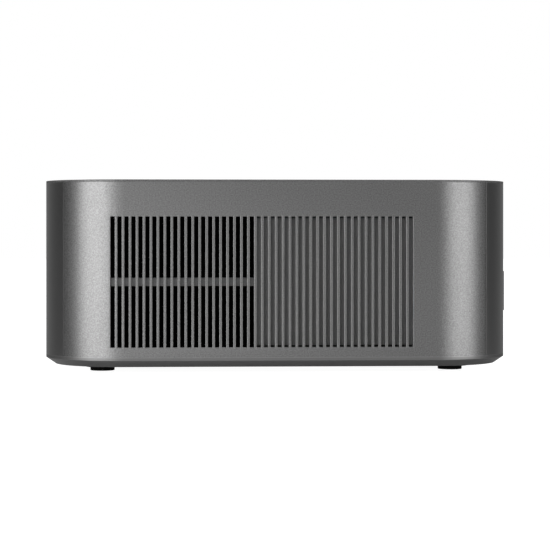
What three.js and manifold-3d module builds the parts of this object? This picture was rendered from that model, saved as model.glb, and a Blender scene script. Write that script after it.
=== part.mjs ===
// Compact LED projector in millimetres, +Z up, origin on the table under the middle of the case.
// The lens end faces -X, the connector end faces +X, and the two slotted sides face -Y and +Y.
import * as THREE from 'three';
import { mergeVertices } from 'three/addons/utils/BufferGeometryUtils.js';
import ManifoldModule from 'manifold-3d';

const wasm = await ManifoldModule();
wasm.setup();

// Shared clearances and facets
const fitGap = 0.3;
const overrun = 3;
const weldDistance = 0.0005;
const cornerSteps = 6;
const roundSteps = 24;
const smallSteps = 12;

// Case
const caseLength = 240;
const caseWidth = 220;
const caseTopZ = 97.8;
const cornerRadius = 41;
const wall = 2.4;
const frontSeamInset = 10.4;
const rearSeamInset = 13.4;
const coverEdge = 1.2;
const coverStep = 1.2;
const coverLipDepth = 3;
const coverLipWall = 2;
const endProud = 2;

// Base: rubber feet, thin plate and chamfered tray
const footHeight = 2.1;
const footRadius = 6.25;
const footEdge = 0.5;
const footPegRadius = 2;
const footFromEnd = 29.6;
const footFromSide = 30;
const plateThickness = 1.1;
const plateFromEnd = 21.5;
const plateFromSide = 20;
const plateCornerRadius = 6;
const chamferDrop = 3.35;
const chamferInset = 5.4;
const trayFloor = 2;
const trayRim = 1.7;

// Side slots, counted from the lens end
const slotWidth = 2;
const openSlots = 21;
const closedSlots = 23;
const firstSlotFromEnd = 35.5;
const lastSlotFromEnd = 54;
const slotAboveRim = 5;
const slotBelowCover = 17.4;
const tieHeight = 4.2;
const tieDepth = 2.6;
const tieLap = 0.2;
const tieEndLap = 1.6;
const blankThickness = 2;
const blankShort = 0.9;
const filterThickness = 2;
const filterBorder = 2.4;

// Chassis deck
const deckThickness = 1.6;
const deckInset = 14;
const postWidth = 8;

// Fans, axis along Y
const fanBorder = 2.05;
const fanDepth = 15;
const fanWall = 1;
const fanHubRadius = 15;
const fanStatorDepth = 3;
const fanStruts = 4;
const fanStrutWidth = 4;
const fanBlades = 7;
const bladeChord = 12;
const bladeThickness = 1.2;
const bladePitchDegrees = 38;
const bladeTipGap = 1.6;
const fanShaftRadius = 1.5;

// Heat sinks behind the fans
const sinkFromFan = 3;
const sinkEnd = 2;
const finLength = 34;
const finThickness = 1;
const finPitch = 4;
const finCount = 17;
const sinkBase = 3;

// Light engine and its three LED modules
const ledBarrel = 13;
const ledBarrelRadius = 9;
const ledPlate = 5.4;
const ledPlateSize = 26;
const engineLength = 64;
const engineHeight = 46;
const engineFromLensEnd = 62;
const engineCorner = 4;
const chipBoardLength = 50;
const chipBoardWidth = 40;
const boardThickness = 1.6;
const chipSize = 18;
const chipHeight = 4;
const heatBlockDepth = 9;
const heatBlockWidth = 24;
const heatBlockRise = 25;
const heatBlockDrop = 12;
const pipeRadius = 3;
const pipeBend = 16;
const pipeRise = 20;
const pipeSinkRun = 50;
const pipeSteps = 16;
const pipeSides = 8;

// Lens, its axis along X
const lensAboveMiddle = 1.6;
const barrelInner = 17.9;
const barrelOuter = 20;
const barrelShoulder = 22;
const flangeRadius = 28;
const flangeThickness = 3;
const ringPitchRadius = 24;
const ringTeeth = 48;
const pinionTeeth = 12;
const toothAddendum = 1;
const toothDedendum = 1.25;
const toothTipShare = 0.24;
const toothRootShare = 0.5;
const gearSlack = 0.35;
const ringWidth = 6;
const ringFromFlange = 16.5;
const pinionWidth = 7;
const focusTravel = 5;
const cellWall = 2.4;
const cellRearReach = 11;
const cupRadius = 23;
const cupWall = 2.5;
const cupLength = 14;
const cupFloor = 2.4;
const cupRecess = 6.4;
const lensEdge = 4;
const lensCrown = 3.5;
const lensFromFloor = 3;
const bezelInner = 24.5;
const bezelFlange = 31;
const bezelSleeve = 28.7;
const bezelDepth = 10;
const motorRadius = 7;
const motorLength = 18;
const motorShaftRadius = 1.2;
const motorShaftLength = 5;
const bracketWidth = 20;
const bracketLength = 13;
const remoteWindowRadius = 3.5;
const remoteWindowFromLens = 46;

// Connector plate and main board
const ioWidth = 128;
const ioBottomZ = 29.9;
const ioHeight = 20.7;
const ioFlange = 3;
const boardFromBlock = 6.5;
const boardFromSide = 35;
const boardFromWall = 2.1;
const boardUnderIo = 6.2;
const boardPostInset = 7;
const boardPostFromEnd = 16;
const boardPostRadius = 3.5;
const socketSetback = 0.6;
const socketLength = 12.6;
const socketPitch = 24;
const powerWidth = 9;
const powerHeight = 11;
const powerHoleRadius = 3.2;
const powerPinRadius = 1;
const videoWidth = 15;
const videoHeight = 5.6;
const videoShell = 0.5;
const videoTongueHeight = 0.8;
const usbWidth = 13.2;
const usbHeight = 5.8;
const usbShell = 0.4;
const usbTongueHeight = 1.8;
const tongueWidth = 11;
const audioWidth = 7;
const audioHeight = 6;
const audioHoleRadius = 1.8;

// Speakers behind the closed slots
const speakerFromFan = 10;
const speakerLength = 48;
const speakerDepth = 20;
const speakerHeight = 66;
const speakerFromSide = 7.2;
const speakerConeRadius = 18;
const speakerConeDepth = 6;

// Power button on the top cover
const buttonFromEnd = 35;
const buttonRadius = 7;
const buttonSunk = 0.3;
const buttonFlange = 1.5;
const buttonFlangeThickness = 1.5;
const buttonStemRadius = 2;
const buttonTravel = 0.8;
const buttonStemLength = 2.2;
const switchSize = 6;
const switchHeight = 3;
const keyBoardLength = 16;
const keyBoardWidth = 36;
const keyPostRadius = 2.5;
const keyPostFromEdge = 4;

// Tripod bush and screws
const bushFromLensEnd = 100;
const bushRadius = 6;
const bushBore = 3.2;
const bushHeight = 12;
const bushFlange = 3;
const bushFlangeThickness = 1.5;
const screwHeadRadius = 2.8;
const screwHeadHeight = 1.1;
const screwShankRadius = 1.3;
const boardScrewShank = 8;
const baseScrewFromEnd = 36;
const baseScrewFromSide = 50;
const screwPostRadius = 4;
const screwPostHeight = 6;

// Levels and half sizes that follow from the values above
const halfLength = caseLength / 2;
const halfWidth = caseWidth / 2;
const plateTopZ = footHeight + plateThickness;
const creaseZ = plateTopZ + chamferDrop;
const rimZ = creaseZ + trayRim;
const floorZ = plateTopZ + trayFloor;
const deckZ = floorZ + deckThickness;
const coverZ = caseTopZ - coverEdge;
const coverUnderZ = coverZ - coverStep;
const slotBottomZ = rimZ + slotAboveRim;
const slotTopZ = coverZ - slotBelowCover;
const slotMidZ = (slotBottomZ + slotTopZ) / 2;
const slotTotal = openSlots + closedSlots;
const slotPitch = (caseLength - firstSlotFromEnd - lastSlotFromEnd) / (slotTotal - 1);
const slotX = (k) => firstSlotFromEnd - halfLength + k * slotPitch;
const openMidX = (slotX(0) + slotX(openSlots - 1)) / 2;
const slatMidX = (k) => (slotX(k - 1) + slotX(k)) / 2;
const filterFront = wall + tieDepth - tieLap + fitGap;
const fanFront = filterFront + filterThickness + fitGap;
const fanSize = slotTopZ - slotBottomZ + 2 * fanBorder;
const fanBottomZ = slotMidZ - fanSize / 2;
const sinkFront = fanFront + fanDepth + sinkFromFan;
const sinkBack = sinkFront + finLength + sinkBase;
const sinkBottomZ = fanBottomZ + sinkEnd;
const sinkTopZ = fanBottomZ + fanSize - sinkEnd;
const sinkLength = (finCount - 1) * finPitch + finThickness;
const sinkInnerY = halfWidth - sinkBack;
const ledLength = ledBarrel + ledPlate;
const engineHalfWidth = sinkInnerY - ledLength - 2 * fitGap;
const engineFront = halfLength - engineFromLensEnd;
const engineRear = engineLength - engineFront;
const blockX = engineRear + ledLength + 2 * fitGap;
const lensZ = (rimZ + coverZ) / 2 + lensAboveMiddle;
const engineBottomZ = lensZ - engineHeight / 2;
const engineTopZ = lensZ + engineHeight / 2;
const boardTopZ = ioBottomZ + boardUnderIo;
const boardBottomZ = boardTopZ - boardThickness;
const boardRear = halfLength - wall - boardFromWall;
const boardFront = blockX + heatBlockDepth + boardFromBlock;
const boardHalfWidth = halfWidth - boardFromSide;
const pinionPitchRadius = ringPitchRadius * pinionTeeth / ringTeeth;
const gearCentres = ringPitchRadius + pinionPitchRadius + gearSlack;
const buttonX = halfLength - buttonFromEnd;
const buttonTopZ = caseTopZ - buttonSunk;
const buttonFlangeTopZ = coverUnderZ - fitGap;
const buttonFlangeZ = buttonFlangeTopZ - buttonFlangeThickness;
const stemZ = buttonFlangeZ - buttonStemLength;
const switchTopZ = stemZ - buttonTravel - fitGap;
const keyBoardTopZ = switchTopZ - switchHeight;
const bushX = bushFromLensEnd - halfLength;

// A closed mesh with shared vertices and faces pointing out, ready to be cut or joined
function solid(geometry) {
  const bare = new THREE.BufferGeometry();
  bare.setAttribute('position', geometry.attributes.position);
  bare.setIndex(geometry.index);
  const welded = mergeVertices(bare, weldDistance);
  const place = welded.attributes.position;
  const corners = [];
  const points = [new THREE.Vector3(), new THREE.Vector3(), new THREE.Vector3()];
  let volume = 0;
  for (let i = 0; i < welded.index.count; i += points.length) {
    const ids = points.map((point, k) => welded.index.getX(i + k));
    if (new Set(ids).size < points.length) continue;
    points.forEach((point, k) => point.fromBufferAttribute(place, ids[k]));
    volume += points[0].dot(points[1].cross(points[2]));
    corners.push(...ids);
  }
  if (volume < 0) corners.reverse();
  return new wasm.Manifold(new wasm.Mesh({
    numProp: place.itemSize,
    vertProperties: new Float32Array(place.array),
    triVerts: new Uint32Array(corners),
  }));
}

function cut(body, ...tools) {
  return tools.reduce((left, tool) => left.subtract(tool), body);
}

function join(...bodies) {
  return bodies.reduce((sum, next) => sum.add(next));
}

function surface(body) {
  const mesh = body.getMesh();
  const geometry = new THREE.BufferGeometry();
  geometry.setAttribute('position', new THREE.BufferAttribute(mesh.vertProperties, mesh.numProp));
  geometry.setIndex(new THREE.BufferAttribute(mesh.triVerts, 1));
  const flat = geometry.toNonIndexed();
  flat.computeVertexNormals();
  return flat;
}

// Block between two opposite corners, given in any order
function block(x0, x1, y0, y1, z0, z1) {
  const size = [x1 - x0, y1 - y0, z1 - z0].map(Math.abs);
  const geometry = new THREE.BoxGeometry(...size);
  return solid(geometry.translate((x0 + x1) / 2, (y0 + y1) / 2, (z0 + z1) / 2));
}

// Block on one side of the case, with its depth counted inwards from the outer side face
function sideBlock(side, x0, x1, depth0, depth1, z0, z1) {
  return block(x0, x1, side * (halfWidth - depth0), side * (halfWidth - depth1), z0, z1);
}

function roundedRect(halfX, halfY, radius) {
  const shape = new THREE.Shape();
  const [x, y, turn] = [halfX - radius, halfY - radius, Math.PI / 2];
  shape.absarc(x, y, radius, 0, turn);
  shape.absarc(-x, y, radius, turn, 2 * turn);
  shape.absarc(-x, -y, radius, 2 * turn, 3 * turn);
  shape.absarc(x, -y, radius, 3 * turn, 4 * turn);
  shape.closePath();
  return shape;
}

function caseOutline(inset) {
  return roundedRect(halfLength - inset, halfWidth - inset, cornerRadius - inset);
}

function prism(shape, z0, z1) {
  const options = { depth: z1 - z0, bevelEnabled: false, curveSegments: cornerSteps };
  return solid(new THREE.ExtrudeGeometry(shape, options).translate(0, 0, z0));
}

function rod(radius, z0, z1, x = 0, y = 0, steps = smallSteps) {
  const geometry = new THREE.CylinderGeometry(radius, radius, z1 - z0, steps).rotateX(Math.PI / 2);
  return solid(geometry.translate(x, y, (z0 + z1) / 2));
}

function rodAlongX(radius, x0, x1, y, z, steps = roundSteps) {
  const geometry = new THREE.CylinderGeometry(radius, radius, x1 - x0, steps).rotateZ(Math.PI / 2);
  return solid(geometry.translate((x0 + x1) / 2, y, z));
}

// Turned piece about Z from a closed profile of [radius, height] points
function turned(profile, steps = roundSteps) {
  const points = [...profile, profile[0]].map(([radius, height]) => new THREE.Vector2(radius, height));
  return solid(new THREE.LatheGeometry(points, steps).rotateX(Math.PI / 2));
}

// Finishes, as colour, roughness and metalness
const finishes = {
  flakePaint: [0x7c7d7e, 0.42, 0.25],
  smoothPaint: [0x6d6e6f, 0.38, 0.2],
  trayPaint: [0x4c4d4e, 0.4, 0.2],
  blackPlastic: [0x121212, 0.5, 0],
  blankPlastic: [0x4a4a4b, 0.6, 0],
  rubber: [0x0c0c0c, 0.8, 0],
  foam: [0x060606, 1, 0],
  glossBlack: [0x08080a, 0.08, 0],
  glass: [0x9fb4c8, 0.03, 0],
  castMetal: [0x8a8c8e, 0.45, 1],
  bareMetal: [0xc2c4c6, 0.3, 1],
  copper: [0xb87333, 0.3, 1],
  brass: [0xb5a264, 0.3, 1],
  circuitBoard: [0x12402a, 0.5, 0],
  gearPlastic: [0xd8d5c8, 0.5, 0],
};

const projector = new THREE.Group();

function addNode(name, body, finish, parent = projector) {
  const [color, roughness, metalness] = finishes[finish];
  const material = new THREE.MeshStandardMaterial({ color, roughness, metalness });
  const mesh = new THREE.Mesh(surface(body), material);
  mesh.name = name;
  parent.add(mesh);
  return mesh;
}

function placed(group, x, y, z) {
  group.position.set(x, y, z);
  projector.add(group);
  return group;
}

const sides = [['left', -1], ['right', 1]];
const ends = [['front', -1], ['rear', 1]];
const footPlaces = ends.flatMap(([end, endSign]) => sides.map(([side, sideSign]) => ({
  name: `${end}_${side}`,
  x: endSign * (halfLength - footFromEnd),
  y: sideSign * (halfWidth - footFromSide),
})));
const baseScrewPlaces = footPlaces.map(({ name, x, y }) => ({
  name,
  x: Math.sign(x) * (halfLength - baseScrewFromEnd),
  y: Math.sign(y) * (halfWidth - baseScrewFromSide),
}));

// Bottom tray: the chamfered foot of the case, with an upright rim that carries the walls
function chamferedTub(inset, bottomZ) {
  const options = {
    depth: trayRim + overrun,
    curveSegments: cornerSteps,
    bevelThickness: chamferDrop,
    bevelSize: chamferInset,
    bevelOffset: -chamferInset,
    bevelSegments: 1,
  };
  const geometry = new THREE.ExtrudeGeometry(caseOutline(inset), options);
  return solid(geometry.translate(0, 0, bottomZ + chamferDrop));
}

const shankHole = screwShankRadius + fitGap;
const bushHole = rod(bushRadius + fitGap, -overrun, deckZ + overrun, bushX, 0, roundSteps);
const baseScrewHoles = baseScrewPlaces.map(({ x, y }) => (
  rod(shankHole, -overrun, deckZ + screwPostHeight, x, y)
));
const aboveRim = block(-caseLength, caseLength, -caseWidth, caseWidth, rimZ, caseTopZ);
const trayShell = cut(chamferedTub(0, plateTopZ), chamferedTub(wall, floorZ), aboveRim);
const trayBody = cut(trayShell, bushHole, ...baseScrewHoles);
addNode('bottom_tray', trayBody, 'trayPaint');

// Base plate: thin plate under the tray, with holes for the foot pegs, the bush and the four screws
const plateOutline = roundedRect(halfLength - plateFromEnd, halfWidth - plateFromSide, plateCornerRadius);
const pegHoles = footPlaces.map(({ x, y }) => (
  rod(footPegRadius + fitGap, -overrun, plateTopZ + overrun, x, y)
));
const plateBody = cut(prism(plateOutline, footHeight, plateTopZ), bushHole, ...baseScrewHoles, ...pegHoles);
addNode('base_plate', plateBody, 'blackPlastic');

// Feet: turned rubber discs with a peg pressed into the base plate
const footProfile = [
  [0, 0], [footRadius - footEdge, 0], [footRadius, footEdge], [footRadius, footHeight],
  [footPegRadius, footHeight], [footPegRadius, plateTopZ - fitGap], [0, plateTopZ - fitGap],
];
for (const { name, x, y } of footPlaces) {
  addNode(`foot_${name}`, turned(footProfile, roundSteps), 'rubber').position.set(x, y, 0);
}

// Side shells: slotted flats with part of each corner, tied at mid height behind the open slots
const frontSeamX = frontSeamInset - halfLength;
const rearSeamX = halfLength - rearSeamInset;
const wallCore = prism(caseOutline(wall), rimZ - overrun, coverZ + overrun);
const wallRing = cut(prism(caseOutline(0), rimZ, coverZ), wallCore);
for (const [side, sign] of sides) {
  const reach = [0, sign * caseWidth, rimZ, coverZ];
  const strip = block(frontSeamX + fitGap / 2, rearSeamX - fitGap / 2, ...reach);
  const slotCuts = Array.from({ length: slotTotal }, (unused, k) => sideBlock(
    sign, slotX(k) - slotWidth / 2, slotX(k) + slotWidth / 2,
    -overrun, wall + tieDepth, slotBottomZ, slotTopZ,
  ));
  const tie = sideBlock(
    sign, slotX(0) - tieEndLap, slatMidX(openSlots),
    wall - tieLap, wall + tieDepth - tieLap, slotMidZ - tieHeight / 2, slotMidZ + tieHeight / 2,
  );
  addNode(`side_shell_${side}`, join(cut(wallRing.intersect(strip), ...slotCuts), tie), 'flakePaint');

  // Blanking plate behind the closed slots, a little shorter than they are
  const blank = sideBlock(
    sign, slatMidX(openSlots), slotX(slotTotal - 1) + slotPitch,
    wall + fitGap, wall + fitGap + blankThickness, slotBottomZ + blankShort, slotTopZ - blankShort,
  );
  addNode(`vent_blank_${side}`, blank, 'blankPlastic');

  // Dust filter behind the open slots
  const filter = sideBlock(
    sign, slotX(0) - filterBorder, slotX(openSlots - 1) + filterBorder,
    filterFront, filterFront + filterThickness, slotBottomZ - filterBorder, slotTopZ + filterBorder,
  );
  addNode(`dust_filter_${side}`, filter, 'foam');
}

// Front fascia: the lens end of the wall, with holes for the bezel and the remote window
const fasciaZone = block(-caseLength, frontSeamX - fitGap / 2, -caseWidth, caseWidth, rimZ, coverZ);
const [drillFromX, drillToX] = [-halfLength - overrun, wall + overrun - halfLength];
const bezelHole = rodAlongX(bezelSleeve + fitGap, drillFromX, drillToX, 0, lensZ);
const remoteHole = rodAlongX(remoteWindowRadius + fitGap, drillFromX, drillToX, remoteWindowFromLens, lensZ);
addNode('front_fascia', cut(wallRing.intersect(fasciaZone), bezelHole, remoteHole), 'smoothPaint');
const remoteWindow = rodAlongX(
  remoteWindowRadius, -halfLength, wall - halfLength, remoteWindowFromLens, lensZ, smallSteps,
);
addNode('remote_window', remoteWindow, 'glossBlack');

// Rear panel: the connector end of the wall, with the opening that takes the connector plate
const panelZone = block(rearSeamX + fitGap / 2, caseLength, -caseWidth, caseWidth, rimZ, coverZ);
const ioTopZ = ioBottomZ + ioHeight;
const ioHalfHole = ioWidth / 2 - ioFlange;
const ioHole = block(
  halfLength - wall - overrun, halfLength + overrun,
  -ioHalfHole, ioHalfHole, ioBottomZ + ioFlange, ioTopZ - ioFlange,
);
addNode('rear_panel', cut(wallRing.intersect(panelZone), ioHole), 'smoothPaint');

// Sockets on the main board: outer size, then a mouth with its tongue, or a round hole with or without a pin
const power = { width: powerWidth, height: powerHeight, hole: powerHoleRadius, pin: powerPinRadius };
const video = { width: videoWidth, height: videoHeight, shell: videoShell, tongue: videoTongueHeight };
const usb = { width: usbWidth, height: usbHeight, shell: usbShell, tongue: usbTongueHeight };
const audio = { width: audioWidth, height: audioHeight, hole: audioHoleRadius };
const sockets = [
  { name: 'power_socket', ...power },
  { name: 'hdmi_socket_1', ...video },
  { name: 'hdmi_socket_2', ...video },
  { name: 'usb_socket', ...usb },
  { name: 'audio_socket', ...audio },
];
const socketMouthX = halfLength + endProud - socketSetback;
const socketBackX = socketMouthX - socketLength;
const mouthBackX = socketBackX + socketSetback;
const socketCuts = [];
const tongueTipX = socketMouthX - socketSetback;
for (const [k, { name, width, height, hole, pin, shell, tongue }] of sockets.entries()) {
  const y = (k - (sockets.length - 1) / 2) * socketPitch;
  const z = boardTopZ + height / 2;
  let body = block(socketBackX, socketMouthX, y - width / 2, y + width / 2, boardTopZ, boardTopZ + height);
  if (shell) {
    const [mouthY, mouthZ] = [width / 2 - shell, height / 2 - shell];
    const [tongueY, tongueZ] = [tongueWidth / 2, tongue / 2];
    body = cut(body, block(mouthBackX, halfLength + overrun, y - mouthY, y + mouthY, z - mouthZ, z + mouthZ));
    body = join(body, block(socketBackX, tongueTipX, y - tongueY, y + tongueY, z - tongueZ, z + tongueZ));
  }
  if (hole) body = cut(body, rodAlongX(hole, mouthBackX, halfLength + overrun, y, z, smallSteps));
  if (pin) body = join(body, rodAlongX(pin, socketBackX, tongueTipX, y, z, smallSteps));
  addNode(name, body, shell ? 'bareMetal' : 'blackPlastic');
  const [cutY, cutTop] = [width / 2 + fitGap, boardTopZ + height + fitGap];
  socketCuts.push(block(0, caseLength, y - cutY, y + cutY, boardTopZ - fitGap, cutTop));
}

// Connector plate: stands proud of the rear panel and plugs into its opening
const ioFace = block(halfLength, halfLength + endProud, -ioWidth / 2, ioWidth / 2, ioBottomZ, ioTopZ);
const ioPlug = block(
  halfLength - wall, halfLength + endProud, fitGap - ioHalfHole, ioHalfHole - fitGap,
  ioBottomZ + ioFlange + fitGap, ioTopZ - ioFlange - fitGap,
);
addNode('io_plate', cut(join(ioFace, ioPlug), ...socketCuts), 'blackPlastic');

// Top cover: thin lid with a stepped underside and a lip inside the walls, and posts for the key board
const lipInset = wall + fitGap;
const lipBottomZ = coverUnderZ - coverLipDepth;
const lip = cut(
  prism(caseOutline(lipInset), lipBottomZ, coverUnderZ + coverStep),
  prism(caseOutline(lipInset + coverLipWall), lipBottomZ - overrun, coverUnderZ),
);
const keyPostY = keyBoardWidth / 2 - keyPostFromEdge;
const keyPosts = [-keyPostY, keyPostY].map((y) => (
  rod(keyPostRadius, keyBoardTopZ + fitGap, coverZ, buttonX, y)
));
const buttonHole = rod(buttonRadius + fitGap, lipBottomZ, caseTopZ + overrun, buttonX, 0, roundSteps);
const lid = prism(caseOutline(0), coverZ, caseTopZ);
addNode('top_cover', cut(join(lid, lip, ...keyPosts), buttonHole), 'flakePaint');

// Power button: cap, retaining flange and stem in one, above the key board and its switch
const buttonFlangeRadius = buttonRadius + buttonFlange;
const buttonBody = turned([
  [0, stemZ], [buttonStemRadius, stemZ], [buttonStemRadius, buttonFlangeZ],
  [buttonFlangeRadius, buttonFlangeZ], [buttonFlangeRadius, buttonFlangeTopZ],
  [buttonRadius, buttonFlangeTopZ], [buttonRadius, buttonTopZ], [0, buttonTopZ],
]);
addNode('power_button', buttonBody, 'smoothPaint').position.set(buttonX, 0, 0);
const [keyHalfX, keyHalfY, switchHalf] = [keyBoardLength / 2, keyBoardWidth / 2, switchSize / 2];
const keyBoardZ = keyBoardTopZ - boardThickness;
const keyBoard = join(
  block(buttonX - keyHalfX, buttonX + keyHalfX, -keyHalfY, keyHalfY, keyBoardZ, keyBoardTopZ),
  block(buttonX - switchHalf, buttonX + switchHalf, -switchHalf, switchHalf, keyBoardZ, switchTopZ),
);
addNode('key_board', keyBoard, 'circuitBoard');

// Fans: square frames with struts at the inner side, built along +Z and turned to face outwards
const fanHole = fanSize / 2 - fanWall;
const statorTop = fanStatorDepth;
const rotorBase = statorTop + fitGap;
const rotorTop = fanDepth - fanWall;
const bladeTip = fanHole - bladeTipGap;
const turnOf = (k, count) => 2 * Math.PI * k / count;
for (const [side, sign] of sides) {
  const fan = placed(new THREE.Group(), openMidX, sign * (halfWidth - fanFront - fanDepth), slotMidZ);
  fan.rotation.x = -sign * Math.PI / 2;
  const square = fanSize / 2;
  const frameRing = cut(
    block(-square, square, -square, square, 0, fanDepth),
    rod(fanHole, -overrun, fanDepth + overrun, 0, 0, roundSteps),
  );
  const struts = Array.from({ length: fanStruts / 2 }, (unused, k) => {
    const bar = new THREE.BoxGeometry(fanSize - fanWall, fanStrutWidth, fanStatorDepth - fitGap);
    return solid(bar.rotateZ(turnOf(k, fanStruts)).translate(0, 0, (fanStatorDepth - fitGap) / 2));
  });
  const stator = rod(fanHubRadius, 0, statorTop, 0, 0, roundSteps);
  const shaftHole = rod(fanShaftRadius + fitGap, fitGap, fanDepth, 0, 0);
  addNode(`fan_frame_${side}`, cut(join(frameRing, stator, ...struts), shaftHole), 'blackPlastic', fan);

  const bladeLength = bladeTip - fanHubRadius / 2;
  const blades = Array.from({ length: fanBlades }, (unused, k) => {
    const blade = new THREE.BoxGeometry(bladeLength, bladeChord, bladeThickness);
    blade.rotateX(THREE.MathUtils.degToRad(bladePitchDegrees));
    blade.translate(fanHubRadius / 2 + bladeLength / 2, 0, (rotorBase + rotorTop) / 2);
    return solid(blade.rotateZ(turnOf(k, fanBlades)));
  });
  const hub = rod(fanHubRadius, rotorBase, rotorTop, 0, 0, roundSteps);
  const shaft = rod(fanShaftRadius, 2 * fitGap, rotorBase + fitGap, 0, 0);
  addNode(`fan_rotor_${side}`, join(hub, shaft, ...blades), 'blackPlastic', fan);
}

// Heat sinks: combs of upright fins on a base, between each fan and its LED module
for (const [side, sign] of sides) {
  const depths = [sinkFront, sinkFront + finLength, sinkBack];
  const [finY, baseY, backY] = depths.map((depth) => sign * (halfWidth - depth));
  const comb = new THREE.Shape();
  comb.moveTo(openMidX + sinkLength / 2, backY);
  comb.lineTo(openMidX - sinkLength / 2, backY);
  for (let k = 0; k < finCount; k += 1) {
    const x = openMidX - sinkLength / 2 + k * finPitch;
    if (k > 0) comb.lineTo(x, baseY);
    comb.lineTo(x, finY);
    comb.lineTo(x + finThickness, finY);
    if (k < finCount - 1) comb.lineTo(x + finThickness, baseY);
  }
  comb.closePath();
  addNode(`heat_sink_${side}`, prism(comb, sinkBottomZ, sinkTopZ), 'bareMetal');
}

// Light engine: housing of the mixing optics, with a boss that takes the lens flange
const engineOutline = roundedRect(engineLength / 2, engineHalfWidth, engineCorner);
const engineShell = prism(engineOutline, engineBottomZ, engineTopZ);
const engineMidX = engineRear - engineLength / 2;
const light = placed(new THREE.Group(), engineMidX, 0, 0);
addNode('light_engine', engineShell, 'castMetal', light);

// LED modules: round collimator and square copper slug, seated between the engine and a sink or block
const slugHalf = ledPlateSize / 2;
const ledBody = join(
  rod(ledBarrelRadius, 0, ledBarrel + fitGap, 0, 0, roundSteps),
  block(-slugHalf, slugHalf, -slugHalf, slugHalf, ledBarrel, ledLength),
);
const ledPlaces = [
  ['led_green', [engineMidX, -engineHalfWidth - fitGap], [Math.PI / 2, 0]],
  ['led_blue', [engineMidX, engineHalfWidth + fitGap], [-Math.PI / 2, 0]],
  ['led_red', [engineRear + fitGap, 0], [0, Math.PI / 2]],
];
for (const [name, [x, y], [turnX, turnY]] of ledPlaces) {
  const module = placed(new THREE.Group(), x, y, lensZ);
  module.rotation.set(turnX, turnY, 0);
  addNode(name, ledBody, 'copper', module);
}

// Chip board on top of the light engine, with the mirror chip's frame on it
const chipBoardZ = engineTopZ + fitGap;
const [chipX, chipY, chipHalf] = [chipBoardLength / 2, chipBoardWidth / 2, chipSize / 2];
const chipBoardTopZ = chipBoardZ + boardThickness;
const chipBoard = join(
  block(engineMidX - chipX, engineMidX + chipX, -chipY, chipY, chipBoardZ, chipBoardTopZ),
  block(
    engineMidX - chipHalf, engineMidX + chipHalf, -chipHalf, chipHalf, chipBoardZ, chipBoardTopZ + chipHeight,
  ),
);
addNode('chip_board', chipBoard, 'circuitBoard');

// Rear heat block, and the pipe that carries its heat to the right heat sink
const pipeX = blockX + heatBlockDepth / 2;
const pipeZ = lensZ + pipeRise;
const pipeHoleRadius = pipeRadius + fitGap;
const pipeDrill = new THREE.CylinderGeometry(pipeHoleRadius, pipeHoleRadius, caseWidth, smallSteps);
const pipeHole = solid(pipeDrill.translate(pipeX, 0, pipeZ));
const heatBlock = block(
  blockX, blockX + heatBlockDepth, -heatBlockWidth / 2, heatBlockWidth / 2,
  lensZ - heatBlockDrop, lensZ + heatBlockRise,
);
addNode('rear_heat_block', cut(heatBlock, pipeHole), 'copper');
const pipeY = sinkInnerY - fitGap - pipeRadius;
const pipePath = new THREE.CurvePath();
const pipePoint = (x, y) => new THREE.Vector3(x, y, pipeZ);
const bendStart = pipePoint(pipeX, pipeY - pipeBend);
const bendEnd = pipePoint(pipeX - pipeBend, pipeY);
pipePath.add(new THREE.LineCurve3(pipePoint(pipeX, -heatBlockWidth / 2), bendStart));
pipePath.add(new THREE.QuadraticBezierCurve3(bendStart, pipePoint(pipeX, pipeY), bendEnd));
pipePath.add(new THREE.LineCurve3(bendEnd, pipePoint(pipeX - pipeBend - pipeSinkRun, pipeY)));
const pipeSection = new THREE.Shape(Array.from({ length: pipeSides }, (unused, k) => new THREE.Vector2(
  pipeRadius * Math.cos(turnOf(k, pipeSides)), pipeRadius * Math.sin(turnOf(k, pipeSides)),
)));
const pipe = new THREE.ExtrudeGeometry(pipeSection, { steps: pipeSteps, extrudePath: pipePath });
addNode('heat_pipe', solid(pipe), 'copper');

// Lens train: built along +Z and turned to look along -X, with heights counted from the middle of the case
const lensTrain = placed(new THREE.Group(), 0, 0, lensZ);
lensTrain.rotation.y = -Math.PI / 2;
const flangeZ = engineFront + fitGap;
const shoulderZ = flangeZ + ringFromFlange;
const ringZ = shoulderZ + fitGap;
const cupFrontZ = halfLength + endProud - cupRecess - focusTravel;
const barrelEndZ = cupFrontZ - cupLength - fitGap;
const barrelBody = turned([
  [barrelInner, flangeZ], [flangeRadius, flangeZ], [flangeRadius, flangeZ + flangeThickness],
  [barrelShoulder, flangeZ + flangeThickness], [barrelShoulder, shoulderZ], [barrelOuter, shoulderZ],
  [barrelOuter, barrelEndZ], [barrelInner, barrelEndZ],
]);
addNode('lens_barrel', barrelBody, 'blackPlastic', lensTrain);

function gearShape(teeth, pitchRadius, phaseShare) {
  const [tip, root] = [pitchRadius + toothAddendum, pitchRadius - toothDedendum];
  const [tipShare, rootShare] = [toothTipShare, toothRootShare];
  const flank = [[-rootShare, root], [-tipShare, tip], [tipShare, tip], [rootShare, root]];
  const points = [];
  for (let k = 0; k < teeth; k += 1) {
    for (const [share, radius] of flank) {
      const angle = turnOf(k + phaseShare + share / 2, teeth);
      points.push(new THREE.Vector2(radius * Math.cos(angle), radius * Math.sin(angle)));
    }
  }
  return new THREE.Shape(points);
}

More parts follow.
